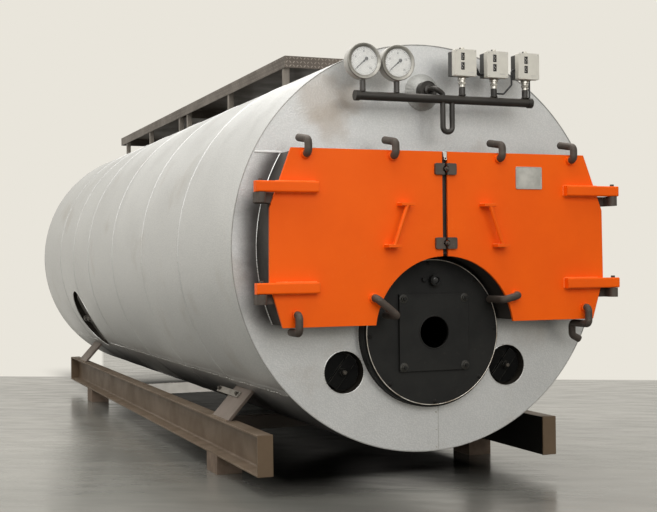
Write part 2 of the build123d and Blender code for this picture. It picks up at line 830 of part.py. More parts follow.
def walkway_deck():
    """Two folded chequer plate trays, open below, end to end."""
    trays = []
    for start, end in walkway_trays():
        outside = walkway_half_width
        inside = walkway_half_width - walkway_plate
        tray = block((-outside, outside), (start, end), (walkway_top - walkway_rim, walkway_top))
        tray = tray - block((-inside, inside), (start + walkway_plate, end - walkway_plate),
                            (walkway_top - 2 * walkway_rim, walkway_top - walkway_plate))
        trays.append(tray)
    return trays


def walkway_posts():
    """Short posts from the casing up to the underside of the walkway."""
    outer = walkway_half_width - walkway_plate - seat_gap
    drum = prism(Circle(casing_radius + seat_gap), 0, casing_length)
    rows = []
    for (start, end), insets, shift in zip(walkway_trays(), post_insets, post_middle_shifts):
        front = start + insets[0]
        rear = end - insets[1]
        rows += [front, (front + rear) / 2 + shift, rear]
    posts = []
    for row in rows:
        post = block((outer - post_side, outer), (row - post_side / 2, row + post_side / 2),
                     (0, walkway_top - walkway_plate - seat_gap))
        post = post - drum
        posts += [post, mirrored(post)]
    return posts


def base_channel():
    """The right rolled channel, open outwards, with tapered flanges and rounded roots."""
    half = channel_height / 2
    root = half - channel_flange_root
    tip = half - channel_flange_tip
    width = channel_width
    hollow = Polygon((channel_web, -root), (width, -tip), (width, tip), (channel_web, root), align=None)
    hollow = fillet(hollow.vertices().group_by(Axis.X)[0], channel_root_radius)
    section = Pos(width / 2, 0) * Rectangle(width, channel_height) - hollow
    return prism(Pos(channel_inner_x, channel_bottom + half) * section, channel_front, channel_rear)


def base_end_plates():
    """Plates that close both ends of the two channels."""
    outer_x = channel_inner_x + channel_width
    plates = []
    for start in (channel_front - end_plate_thickness, channel_rear):
        plate = block((channel_inner_x, outer_x), (start, start + end_plate_thickness),
                      (channel_bottom, channel_top))
        plates += [plate, mirrored(plate)]
    return plates


def base_cross_ties():
    """Small channels between the two base channels."""
    x_range = (-channel_inner_x, channel_inner_x)
    low = channel_bottom
    ties = []
    for row in tie_rows:
        high = low + tie_height
        tie = block(x_range, (row, row + tie_width), (low, high))
        inside = block(x_range, (row + tie_wall, row + tie_width), (low + tie_wall, high - tie_wall))
        ties.append(tie - inside)
    return ties


def saddle_legs():
    """Four plates between the drum and the base channels."""
    return make_legs(leg_thickness, leg_width, shell_radius + seat_gap, channel_top)


def saddle_strap():
    """A flat bar on the front left saddle leg that reaches back past it."""
    middle = strap_front_inset + (strap_length - leg_width) / 2
    side = -(leg_thickness + strap_thickness) / 2
    section = Pos(middle, side) * Rectangle(strap_length, strap_thickness)
    plane = radial_plane(180 + leg_tilt, leg_rows[0]).offset(casing_radius + strap_clearance)
    return extrude(plane * section, amount=strap_width)


def foot_blocks():
    """Four blocks between the base channels and the floor."""
    outer_x = channel_inner_x + channel_width
    feet = []
    for row in foot_rows:
        foot = block((outer_x - foot_width, outer_x), (row - foot_length / 2, row + foot_length / 2),
                     (floor_z, channel_bottom))
        feet += [foot, mirrored(foot)]
    return feet


nodes = {
    "insulation_mats": insulation_mats(),
    "front_insulation": front_insulation(),
    "rear_insulation": rear_insulation(),
    "pressure_shell": pressure_shell(),
    "front_tube_plate": front_tube_plate(),
    "rear_tube_plate": rear_tube_plate(),
    "smoke_tubes": smoke_tubes(),
    "furnace_tube": furnace_tube(),
    "front_cladding": front_cladding(),
    "rear_cladding": rear_cladding(),
    "flue_outlet": flue_outlet(),
    "smoke_box_sides": smoke_box_sides(),
    "smoke_box_top": smoke_box_top(),
    "smoke_box_floors": smoke_box_floors(),
    "smoke_box_arch": smoke_box_arch(),
    "smoke_box_mullion": smoke_box_mullion(),
    "latch_studs": latch_studs(),
    "hinge_lugs": hinge_lugs(),
    "hinge_pins": hinge_pins(),
    "burner_collar": burner_collar(),
    "burner_plate": burner_plate(),
    "burner_flange": burner_flange(),
    "sight_port": sight_port(),
    "hand_hole_covers": hand_hole_covers(),
    "manhole": manhole(),
    "gauge_header": gauge_header(),
    "pressure_gauge_left": pressure_gauge(stations()[0]),
    "pressure_gauge_right": pressure_gauge(stations()[1]),
    "pressure_switch_1": pressure_switch(stations()[3]),
    "pressure_switch_2": pressure_switch(stations()[4]),
    "pressure_switch_3": pressure_switch(stations()[5]),
    "switch_leads": switch_leads(),
    "walkway_deck": walkway_deck(),
    "walkway_posts": walkway_posts(),
    "base_channel_left": mirrored(base_channel()),
    "base_channel_right": base_channel(),
    "base_end_plates": base_end_plates(),
    "base_cross_ties": base_cross_ties(),
    "saddle_legs": saddle_legs(),
    "saddle_strap": saddle_strap(),
    "foot_blocks": foot_blocks(),
    "door_left": door_panel(0),
    "door_left_lining": mirrored(door_lining()),
    "door_left_hinge_bars": [mirrored(bar) for bar in hinge_bars()],
    "door_left_clamps": clamps(0),
    "door_left_handle": mirrored(handle()),
    "door_right": door_panel(1),
    "door_right_lining": door_lining(),
    "door_right_hinge_bars": hinge_bars(),
    "door_right_clamps": clamps(1),
    "door_right_handle": handle(),
}
for number, ring in enumerate(cladding_rings(), start=1):
    nodes[f"cladding_ring_{number}"] = ring

os.makedirs("parts", exist_ok=True)
for name, pieces in nodes.items():
    solids = []
    for piece in pieces if isinstance(pieces, list) else [pieces]:
        solids += piece.solids()
    export_step(on_floor * Compound(children=solids), f"parts/{name}.step")
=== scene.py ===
"""Looks of a horizontal fire-tube boiler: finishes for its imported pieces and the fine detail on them.

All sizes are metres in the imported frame: the front faces -Y, +Z is up and the floor is at z = 0.
"""
import json
import logging
import math
from dataclasses import dataclass, field, replace
from enum import Enum

import bmesh
import bpy
import numpy as np
from mathutils import Matrix, Vector

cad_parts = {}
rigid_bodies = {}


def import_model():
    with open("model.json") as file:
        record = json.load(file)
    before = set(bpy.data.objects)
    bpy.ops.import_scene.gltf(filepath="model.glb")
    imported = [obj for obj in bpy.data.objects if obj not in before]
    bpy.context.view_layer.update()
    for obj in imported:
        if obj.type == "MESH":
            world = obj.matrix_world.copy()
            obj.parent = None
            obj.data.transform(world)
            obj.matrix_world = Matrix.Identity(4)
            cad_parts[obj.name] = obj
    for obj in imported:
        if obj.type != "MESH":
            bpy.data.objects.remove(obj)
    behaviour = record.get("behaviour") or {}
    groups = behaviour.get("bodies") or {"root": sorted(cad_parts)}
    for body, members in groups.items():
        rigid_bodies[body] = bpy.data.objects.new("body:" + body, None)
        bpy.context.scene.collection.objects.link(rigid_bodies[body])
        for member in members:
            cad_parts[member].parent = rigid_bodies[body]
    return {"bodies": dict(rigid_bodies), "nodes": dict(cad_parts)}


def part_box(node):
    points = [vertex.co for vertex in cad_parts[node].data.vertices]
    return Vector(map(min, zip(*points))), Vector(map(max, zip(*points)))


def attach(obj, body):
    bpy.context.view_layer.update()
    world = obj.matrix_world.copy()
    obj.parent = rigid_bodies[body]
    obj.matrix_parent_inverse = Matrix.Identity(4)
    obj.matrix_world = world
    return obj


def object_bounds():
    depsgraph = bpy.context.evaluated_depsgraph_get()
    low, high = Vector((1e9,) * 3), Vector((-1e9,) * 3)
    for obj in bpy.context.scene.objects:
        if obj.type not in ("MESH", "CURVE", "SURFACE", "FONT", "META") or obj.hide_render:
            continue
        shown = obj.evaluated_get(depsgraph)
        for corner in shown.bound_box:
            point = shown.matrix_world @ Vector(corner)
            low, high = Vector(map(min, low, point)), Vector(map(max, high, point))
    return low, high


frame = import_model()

FRAME_OBJECTS = {*frame["nodes"].values(), *frame["bodies"].values()}
for leftover in [item for item in bpy.data.objects if item not in FRAME_OBJECTS]:
    bpy.data.objects.remove(leftover)
CAD_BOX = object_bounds()

LOG = logging.getLogger("boiler")
TAU = 2 * math.pi
SHARP_EDGE = math.radians(34.0)
SAME_POINT = 1e-7

FRONT_ACROSS = np.array((1.0, 0.0, 0.0))
FRONT_OUT = np.array((0.0, -1.0, 0.0))
REAR_ACROSS = np.array((-1.0, 0.0, 0.0))
ALONG = np.array((0.0, 1.0, 0.0))
UP = np.array((0.0, 0.0, 1.0))

Colour = tuple[int, int, int]
Pair = tuple[float, float]
Place = tuple[float, float, float]
Array = np.ndarray
Tree = bpy.types.NodeTree
Socket = bpy.types.NodeSocket
Value = float | Socket
ColourValue = Colour | Socket


class Body(str, Enum):
    """The bodies that a piece can ride on."""

    BOILER = "boiler"
    LEFT = "door_left"
    RIGHT = "door_right"


class Slot(str, Enum):
    """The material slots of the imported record."""

    CLADDING = "cladding"
    DOOR_PAINT = "door_paint"
    DARK_STEEL = "dark_steel"
    BURNER = "burner_black"
    PRIMER = "primer"
    CHEQUER = "chequer_plate"
    STAINLESS = "stainless"
    SWITCH = "switch_grey"


def linear(colour: Colour) -> tuple[float, float, float, float]:
    """Turns an 8-bit display colour into linear light.

    Args:
        colour: Red, green and blue from 0 to 255.

    Returns:
        Linear red, green, blue and an alpha of 1.
    """
    share = np.array(colour) / 255.0
    light = np.where(share <= 0.04045, share / 12.92, ((share + 0.055) / 1.055) ** 2.4)
    return (*light.tolist(), 1.0)


class Shading:
    """Adds nodes to one shader tree and joins them."""

    def __init__(self, tree: Tree) -> None:
        """Keeps the tree that nodes are added to."""
        self.tree = tree

    def node(self, kind: str, **settings: object) -> bpy.types.Node:
        """Adds one node.

        Args:
            kind: Blender's node type without its ShaderNode prefix.
            settings: Properties to set on the node.

        Returns:
            The new node.
        """
        made = self.tree.nodes.new(f"ShaderNode{kind}")
        for name, value in settings.items():
            setattr(made, name, value)
        return made

    def feed(self, socket: Socket, value: object) -> None:
        """Links a socket to another one, or sets its own value.

        Args:
            socket: The input.
            value: An output, or a plain value.
        """
        if isinstance(value, Socket):
            self.tree.links.new(value, socket)
        else:
            socket.default_value = value

    def math(self, operation: str, *values: Value) -> Socket:
        """One step of arithmetic.

        Args:
            operation: Blender's name of the step.
            values: Numbers or sockets.

        Returns:
            The result.
        """
        made = self.node("Math", operation=operation)
        for socket, value in zip(made.inputs, values):
            self.feed(socket, value)
        return made.outputs[0]

    def span(self, value: Value, low: Value, high: Value, start: Value = 0.0, end: Value = 1.0) -> Socket:
        """Maps low..high smoothly to start..end and holds the ends.

        Args:
            value: What is mapped.
            low: Where the change begins.
            high: Where it is complete.
            start: The result up to low.
            end: The result from high on.

        Returns:
            The mapped value.
        """
        made = self.node("MapRange", interpolation_type="SMOOTHSTEP")
        for name, item in zip(("Value", "From Min", "From Max", "To Min", "To Max"), (value, low, high, start, end)):
            self.feed(made.inputs[name], item)
        return made.outputs["Result"]

    def blend(self, mask: Value, first: ColourValue, second: ColourValue) -> Socket:
        """Mixes two colours.

        Args:
            mask: 0 gives the first colour, 1 the second.
            first: A colour or a socket.
            second: A colour or a socket.

        Returns:
            The mixed colour.
        """
        made = self.node("Mix", data_type="RGBA")
        self.feed(made.inputs[0], mask)
        for socket, colour in ((made.inputs[6], first), (made.inputs[7], second)):
            self.feed(socket, colour if isinstance(colour, Socket) else linear(colour))
        return made.outputs[2]

    def noise(self, vector: Socket, scale: Value, detail: Value = 4.0, rough: float = 0.55) -> Socket:
        """Soft noise from 0 to 1 round a middle of a half.

        Args:
            vector: The coordinates.
            scale: Patches over a metre.
            detail: Octaves of finer noise.
            rough: The share of each finer octave.

        Returns:
            The noise.
        """
        made = self.node("TexNoise")
        for name, value in (("Vector", vector), ("Scale", scale), ("Detail", detail), ("Roughness", rough)):
            self.feed(made.inputs[name], value)
        return made.outputs["Fac"]

    def group(self, tree: Tree, **values: object) -> bpy.types.Node:
        """Places a shared group.

        Args:
            tree: The group.
            values: Its inputs; underscores in a name stand for spaces.

        Returns:
            The placed node.
        """
        made = self.node("Group", node_tree=tree)
        for name, value in values.items():
            self.feed(made.inputs[name.replace("_", " ")], value)
        return made

    def parts(self, vector: Socket) -> tuple[Socket, ...]:
        """Splits a vector.

        Args:
            vector: The vector.

        Returns:
            Its x, y and z.
        """
        split = self.node("SeparateXYZ")
        self.feed(split.inputs[0], vector)
        return tuple(split.outputs)

    def bump(self, height: Socket, strength: float, depth: float, normal: Socket | None = None) -> Socket:
        """Turns a height into a normal.

        Args:
            height: The height, about 0 to 1.
            strength: How much of it shows.
            depth: Its full size in metres.
            normal: The normal under it, unless that is the surface's own.

        Returns:
            The bumped normal.
        """
        made = self.node("Bump")
        made.inputs["Strength"].default_value = strength
        made.inputs["Distance"].default_value = depth
        self.feed(made.inputs["Height"], height)
        if normal is not None:
            self.feed(made.inputs["Normal"], normal)
        return made.outputs["Normal"]


class SharedEffects:
    """Shader groups that several finishes use, each built once."""

    def __init__(self) -> None:
        """Builds all the groups."""
        self.mottle = self._mottle()
        self.scuff = self._scuff()
        self.edge = self._edge()
        self.settle = self._settle()
        self.emboss = self._emboss()
        self.brush = self._brush()

    @staticmethod
    def _start(name: str, values: dict[str, float], outputs: dict[str, str]) -> tuple[Shading, dict, dict]:
        """Opens a group with a Vector input, some values and its outputs.

        Args:
            name: The group's name.
            values: Each number input with its default.
            outputs: Each output with its socket type.

        Returns:
            The shading helper, the input sockets and the output sockets by name.
        """
        tree = bpy.data.node_groups.new(name, "ShaderNodeTree")
        tree.interface.new_socket("Vector", in_out="INPUT", socket_type="NodeSocketVector")
        for label, default in values.items():
            made = tree.interface.new_socket(label, in_out="INPUT", socket_type="NodeSocketFloat")
            made.default_value = default
        for label, kind in outputs.items():
            tree.interface.new_socket(label, in_out="OUTPUT", socket_type=kind)
        shading = Shading(tree)
        inside = tree.nodes.new("NodeGroupInput")
        outside = tree.nodes.new("NodeGroupOutput")
        sources = {socket.name: socket for socket in inside.outputs if socket.name}
        targets = {socket.name: socket for socket in outside.inputs if socket.name}
        return shading, sources, targets

    def _mottle(self) -> Tree:
        """Broad clouds: noise stretched about its middle by Contrast.

        Returns:
            The group\'s tree.
        """
        shading, source, target = self._start(
            "cloudy_mottle", {"Scale": 2.0, "Detail": 4.0, "Contrast": 0.2}, {"Mask": "NodeSocketFloat"})
        clouds = shading.noise(source["Vector"], source["Scale"], source["Detail"])
        low = shading.math("SUBTRACT", 0.5, source["Contrast"])
        high = shading.math("ADD", 0.5, source["Contrast"])
        shading.feed(target["Mask"], shading.span(clouds, low, high))
        return shading.tree

    def _scuff(self) -> Tree:
        """Small specks that gather in broad patches.

        Returns:
            The group\'s tree.
        """
        shading, source, target = self._start(
            "patchy_scuffs", {"Scale": 60.0, "Amount": 0.5}, {"Mask": "NodeSocketFloat"})
        specks = shading.span(shading.noise(source["Vector"], source["Scale"], 3.0), 0.6, 0.72)
        patch_scale = shading.math("MULTIPLY", source["Scale"], 0.07)
        patches = shading.span(shading.noise(source["Vector"], patch_scale, 2.0), 0.45, 0.68)
        mask = shading.math("MULTIPLY", specks, patches)
        shading.feed(target["Mask"], shading.math("MULTIPLY", mask, source["Amount"]))
        return shading.tree

    def _edge(self) -> Tree:
        """Rounded normals and worn edges: where the rounded normal leaves the face's own.

        Returns:
            The group\'s tree.
        """
        shading, source, target = self._start(
            "worn_edges", {"Radius": 0.003, "Amount": 0.5, "Scale": 40.0},
            {"Mask": "NodeSocketFloat", "Normal": "NodeSocketVector"})
        rounded = shading.node("Bevel", samples=4)
        shading.feed(rounded.inputs["Radius"], source["Radius"])
        plain = shading.node("NewGeometry")
        match = shading.node("VectorMath", operation="DOT_PRODUCT")
        shading.feed(match.inputs[0], rounded.outputs["Normal"])
        shading.feed(match.inputs[1], plain.outputs["Normal"])
        turn = shading.math("SUBTRACT", 1.0, match.outputs["Value"])
        ridge = shading.span(turn, 0.02, 0.2)
        broken = shading.span(shading.noise(source["Vector"], source["Scale"], 4.0), 0.35, 0.62)
        mask = shading.math("MULTIPLY", ridge, broken)
        shading.feed(target["Mask"], shading.math("MULTIPLY", mask, source["Amount"]))
        shading.feed(target["Normal"], rounded.outputs["Normal"])
        return shading.tree

    def _settle(self) -> Tree:
        """Dust on faces that look up.

        Returns:
            The group\'s tree.
        """
        shading, source, target = self._start(
            "settled_dust", {"Scale": 9.0, "Amount": 0.3}, {"Mask": "NodeSocketFloat"})
        plain = shading.node("NewGeometry")
        upward = shading.span(shading.parts(plain.outputs["Normal"])[2], 0.35, 0.95)
        patches = shading.span(shading.noise(source["Vector"], source["Scale"], 5.0), 0.25, 0.7)
        mask = shading.math("MULTIPLY", upward, patches)
        shading.feed(target["Mask"], shading.math("MULTIPLY", mask, source["Amount"]))
        return shading.tree

    def _emboss(self) -> Tree:
        """Pebbled sheet: smooth cell distances over wandering coordinates.

        Returns:
            The group\'s tree.
        """
        shading, source, target = self._start(
            "pebble_emboss", {"Scale": 90.0}, {"Height": "NodeSocketFloat", "Tone": "NodeSocketFloat"})
        cells = shading.node("TexVoronoi", feature="SMOOTH_F1")
        shading.feed(cells.inputs["Vector"], source["Vector"])
        shading.feed(cells.inputs["Scale"], source["Scale"])
        cells.inputs["Smoothness"].default_value = 0.6
        pebble = shading.span(cells.outputs["Distance"], 0.1, 0.75, 1.0, 0.0)
        fine = shading.noise(source["Vector"], shading.math("MULTIPLY", source["Scale"], 0.8), 2.0)
        height = shading.math("ADD", pebble, shading.math("MULTIPLY", fine, 0.3))
        shading.feed(target["Height"], height)
        shading.feed(target["Tone"], shading.span(height, 0.25, 1.1))
        return shading.tree

    def _brush(self) -> Tree:
        """Fine lines: noise pressed flat along one direction.

        Returns:
            The group\'s tree.
        """
        shading, source, target = self._start(
            "brushed_lines", {"Scale": 500.0}, {"Height": "NodeSocketFloat"})
        squeeze = shading.node("Mapping")
        shading.feed(squeeze.inputs["Vector"], source["Vector"])
        squeeze.inputs["Scale"].default_value = (0.04, 0.04, 1.0)
        shading.feed(target["Height"], shading.noise(squeeze.outputs["Vector"], source["Scale"], 3.0))
        return shading.tree


@dataclass(frozen=True)
class CoatedFinish:
    """Paint, primer or bare steel with clouds, scuffs, worn edges and dust, and, where a limit is given, painted
    shade on one side.
    """

    name: str
    colour: Colour
    shade: Colour
    worn: Colour
    roughness: float = 0.45
    metallic: float = 0.0
    cloud_scale: float = 3.0
    cloud_contrast: float = 0.22
    scuff_scale: float = 70.0
    scuff_amount: float = 0.4
    edge_radius: float = 0.003
    edge_amount: float = 0.5
    dust: Colour = (150, 142, 130)
    dust_amount: float = 0.15
    grain_scale: float = 240.0
    grain_depth: float = 0.0002
    specular: float = 0.5
    # Painted shade: parts whose x lies below the limit take this dark colour, for a side that lies in shade.
    dark: Colour = (20, 18, 15)
    painted_shade_limit: float | None = None

    def material(self, effects: SharedEffects) -> bpy.types.Material:
        """Builds the finish.

        Args:
            effects: The shared shader groups.

        Returns:
            A material on Object coordinates.
        """
        made, shading, shader = open_material(self.name)
        place = shading.node("TexCoord").outputs["Object"]
        clouds = shading.group(effects.mottle, Vector=place, Scale=self.cloud_scale, Detail=5.0,
                               Contrast=self.cloud_contrast).outputs["Mask"]
        scuffs = shading.group(effects.scuff, Vector=place, Scale=self.scuff_scale,
                               Amount=self.scuff_amount).outputs["Mask"]
        edge = shading.group(effects.edge, Vector=place, Radius=self.edge_radius, Amount=self.edge_amount)
        dust = shading.group(effects.settle, Vector=place, Amount=self.dust_amount).outputs["Mask"]
        colour = shading.blend(clouds, self.colour, self.shade)
        colour = shading.blend(scuffs, colour, self.worn)
        colour = shading.blend(edge.outputs["Mask"], colour, self.worn)
        colour = shading.blend(dust, colour, self.dust)
        # Painted shade on the side below the limit.
        if self.painted_shade_limit is not None:
            inner = shading.math("LESS_THAN", shading.parts(place)[0], self.painted_shade_limit)
            colour = shading.blend(inner, colour, self.dark)
        shading.feed(shader.inputs["Base Color"], colour)
        rough = shading.span(clouds, 0.0, 1.0, self.roughness - 0.06, self.roughness + 0.06)
        shading.feed(shader.inputs["Roughness"], rough)
        shader.inputs["Metallic"].default_value = self.metallic
        shader.inputs["Specular IOR Level"].default_value = self.specular
        grain = shading.noise(place, self.grain_scale, 3.0)
        shading.feed(shader.inputs["Normal"], shading.bump(grain, 0.6, self.grain_depth, edge.outputs["Normal"]))
        return made


@dataclass(frozen=True)
class EmbossedFinish:
    """Bright pebbled sheet with cloudy tone and brown smudges; where asked, painted shadow beside the smoke box and
    painted shade towards the belly.
    """

    name: str
    colour: Colour = (205, 205, 203)
    shade: Colour = (180, 181, 181)
    smudge: Colour = (150, 138, 122)
    smudge_low: float = 0.56
    smudge_amount: float = 0.25
    metallic: float = 0.8
    roughness: float = 0.42
    pebble_scale: float = 140.0
    pebble_depth: float = 0.0005
    # The colour of the painted shadow beside the smoke box and of the painted shade towards the belly, then the
    # painted shadow's reach and strength.
    painted_shade_colour: Colour = (74, 70, 68)
    painted_shadow_axis: float | None = None
    painted_shadow_radii: Pair = (0.885, 1.0)
    painted_shadow_levels: Pair = (-0.39, 0.449)
    painted_shadow_amount: float = 0.92
    stains: tuple[tuple[float, float, float], ...] = ()
    stain_amount: float = 0.42
    # Heights over which painted shade towards the belly sets in, and its strength.
    painted_belly_shade_levels: Pair | None = None
    painted_belly_shade_amount: float = 0.85

    def material(self, effects: SharedEffects) -> bpy.types.Material:
        """Builds the finish.

        Args:
            effects: The shared shader groups.

        Returns:
            A material on Object coordinates.
        """
        made, shading, shader = open_material(self.name)
        place = shading.node("TexCoord").outputs["Object"]
        clouds = shading.group(effects.mottle, Vector=place, Scale=1.6, Detail=6.0, Contrast=0.24).outputs["Mask"]
        pebbles = shading.group(effects.emboss, Vector=place, Scale=self.pebble_scale)
        grime = shading.span(shading.noise(place, 2.7, 6.0), self.smudge_low, self.smudge_low + 0.2)
        grime = shading.math("MULTIPLY", grime, self.smudge_amount)
        tone = shading.math("MULTIPLY_ADD", pebbles.outputs["Tone"], 0.5, shading.math("MULTIPLY", clouds, 0.5))
        colour = shading.blend(tone, self.shade, self.colour)
        colour = shading.blend(grime, colour, self.smudge)
        # Painted shadow: the sheet darkens beside the smoke box, where the doors and the box shade it.
        if self.painted_shadow_axis is not None:
            colour = shading.blend(self._painted_box_shadow(shading, place, self.painted_shadow_axis), colour, self.painted_shade_colour)
        for x, z, reach in self.stains:
            colour = shading.blend(self._stain(shading, place, (x, z), reach), colour, self.smudge)
        # Painted shade: the sheet darkens towards the bottom, where less light reaches it.
        if self.painted_belly_shade_levels is not None:
            low = shading.span(shading.parts(place)[2], *self.painted_belly_shade_levels, self.painted_belly_shade_amount, 0.0)
            colour = shading.blend(low, colour, self.painted_shade_colour)
        shading.feed(shader.inputs["Base Color"], colour)
        shader.inputs["Metallic"].default_value = self.metallic
        rough = shading.span(clouds, 0.0, 1.0, self.roughness - 0.05, self.roughness + 0.07)
        shading.feed(shader.inputs["Roughness"], rough)
        shading.feed(shader.inputs["Normal"], shading.bump(pebbles.outputs["Height"], 0.7, self.pebble_depth))
        return made

    @staticmethod
    def _reach(shading: Shading, place: Socket, centre: Pair, waves: Socket, amount: float) -> Socket:
        """The distance from a centre in the front's plane, which wanders a little.

        Args:
            shading: The material's shading helper.
            place: Object coordinates.
            centre: The centre across and up.
            waves: Noise round a half.
            amount: How far the noise moves the result.

        Returns:
            The distance in metres.
        """
        x, _, z = shading.parts(place)
        aside = shading.math("SUBTRACT", x, centre[0])
        rise = shading.math("SUBTRACT", z, centre[1])
        square = shading.math("MULTIPLY_ADD", rise, rise, shading.math("MULTIPLY", aside, aside))
        wander = shading.math("MULTIPLY", shading.math("SUBTRACT", waves, 0.5), amount)
        return shading.math("ADD", shading.math("SQRT", square), wander)

    def _stain(self, shading: Shading, place: Socket, centre: Pair, reach: float) -> Socket:
        """A soft brown cloud on the front.

        Args:
            shading: The material's shading helper.
            place: Object coordinates.
            centre: Its middle across and up.
            reach: How far it spreads.

        Returns:
            A mask from 0 to the stain's amount.
        """
        far = self._reach(shading, place, centre, shading.noise(place, 11.0, 4.0), reach)
        return shading.span(far, 0.25 * reach, reach, self.stain_amount, 0.0)

    def _painted_box_shadow(self, shading: Shading, place: Socket, centre: float) -> Socket:
        """Painted shadow on the sheet beside the smoke box: it fades with the distance from the axis, between two
        levels.

        Args:
            shading: The material's shading helper.
            place: Object coordinates.
            centre: The height of the boiler's axis.

        Returns:
            A mask from 0 to the painted shadow's amount.
        """
        far = self._reach(shading, place, (0.0, centre), shading.noise(place, 9.0, 5.0), 0.05)
        near = shading.span(far, *self.painted_shadow_radii, self.painted_shadow_amount, 0.0)
        low, high = self.painted_shadow_levels
        rise = shading.math("SUBTRACT", shading.parts(place)[2], centre)
        above = shading.span(rise, low - 0.05, low + 0.08)
        below = shading.math("LESS_THAN", rise, high)
        return shading.math("MULTIPLY", near, shading.math("MULTIPLY", above, below))


@dataclass(frozen=True)
class BrushedFinish:
    """Bright bare metal with fine lines."""

    name: str
    colour: Colour = (205, 203, 198)
    shade: Colour = (168, 166, 160)
    roughness: float = 0.28
    line_scale: float = 420.0
    line_depth: float = 0.0002
    metallic: float = 0.9

    def material(self, effects: SharedEffects) -> bpy.types.Material:
        """Builds the finish.

        Args:
            effects: The shared shader groups.

        Returns:
            A material on Object coordinates.
        """
        made, shading, shader = open_material(self.name)
        place = shading.node("TexCoord").outputs["Object"]
        clouds = shading.group(effects.mottle, Vector=place, Scale=14.0, Detail=4.0, Contrast=0.25).outputs["Mask"]
        lines = shading.group(effects.brush, Vector=place, Scale=self.line_scale).outputs["Height"]
        shading.feed(shader.inputs["Base Color"], shading.blend(clouds, self.colour, self.shade))
        shader.inputs["Metallic"].default_value = self.metallic
        shading.feed(shader.inputs["Roughness"],
                     shading.span(lines, 0.3, 0.7, self.roughness - 0.06, self.roughness + 0.1))
        shading.feed(shader.inputs["Normal"], shading.bump(lines, 0.25, self.line_depth))
        return made


@dataclass(frozen=True)
class SplitFinish:
    """Two colours on one piece, parted by a plane across one axis."""

    name: str
    near: Colour
    far: Colour
    axis: str
    level: float
    roughness: float = 0.45
    near_metallic: float = 0.0
    grime: Colour = (110, 104, 96)
    worn: Colour = (206, 202, 192)

    def material(self, effects: SharedEffects) -> bpy.types.Material:
        """Builds the finish.

        Args:
            effects: The shared shader groups.

        Returns:
            A material whose near colour lies below the level on its axis.
        """
        made, shading, shader = open_material(self.name)
        place = shading.node("TexCoord").outputs["Object"]
        far = shading.math("GREATER_THAN", shading.parts(place)["XYZ".index(self.axis)], self.level)
        edge = shading.group(effects.edge, Vector=place, Radius=0.002, Amount=0.35)
        clouds = shading.group(effects.mottle, Vector=place, Scale=22.0, Detail=4.0, Contrast=0.3).outputs["Mask"]
        soft = shading.math("MULTIPLY", clouds, 0.16)
        colour = shading.blend(far, self.near, self.far)
        colour = shading.blend(soft, colour, self.grime)
        colour = shading.blend(edge.outputs["Mask"], colour, self.worn)
        shading.feed(shader.inputs["Base Color"], colour)
        shading.feed(shader.inputs["Roughness"],
                     shading.span(clouds, 0.0, 1.0, self.roughness - 0.06, self.roughness + 0.06))
        if self.near_metallic:
            shading.feed(shader.inputs["Metallic"],
                         shading.math("MULTIPLY", shading.math("SUBTRACT", 1.0, far), self.near_metallic))
        shading.feed(shader.inputs["Normal"], edge.outputs["Normal"])
        return made


@dataclass(frozen=True)
class GlassFinish:
    """A thin clear pane that lets the light through."""

    name: str
    alpha: float = 0.1
    haze: float = 0.05
    tint: Colour = (235, 236, 235)

    def material(self, effects: SharedEffects) -> bpy.types.Material:
        """Builds the pane.

        Args:
            effects: The shared shader groups, for a faint haze of dust.

        Returns:
            A see-through material.
        """
        made, shading, shader = open_material(self.name)
        place = shading.node("TexCoord").outputs["Object"]
        haze = shading.group(effects.mottle, Vector=place, Scale=30.0, Detail=4.0, Contrast=0.3).outputs["Mask"]
        shading.feed(shader.inputs["Alpha"], shading.span(haze, 0.0, 1.0, self.alpha, self.alpha + self.haze))
        shader.inputs["Base Color"].default_value = linear(self.tint)
        shader.inputs["Roughness"].default_value = 0.05
        return made


Finish = CoatedFinish | EmbossedFinish | BrushedFinish | SplitFinish | GlassFinish


def open_material(name: str) -> tuple[bpy.types.Material, Shading, bpy.types.Node]:
    """Opens an empty node material.

    Args:
        name: The material's name.

    Returns:
        The material, its shading helper and its Principled shader.
    """
    made = bpy.data.materials.new(name)
    made.use_nodes = True
    made.node_tree.nodes.clear()
    shading = Shading(made.node_tree)
    shader = shading.node("BsdfPrincipled")
    output = shading.node("OutputMaterial")
    shading.feed(output.inputs["Surface"], shader.outputs[0])
    return made, shading, shader


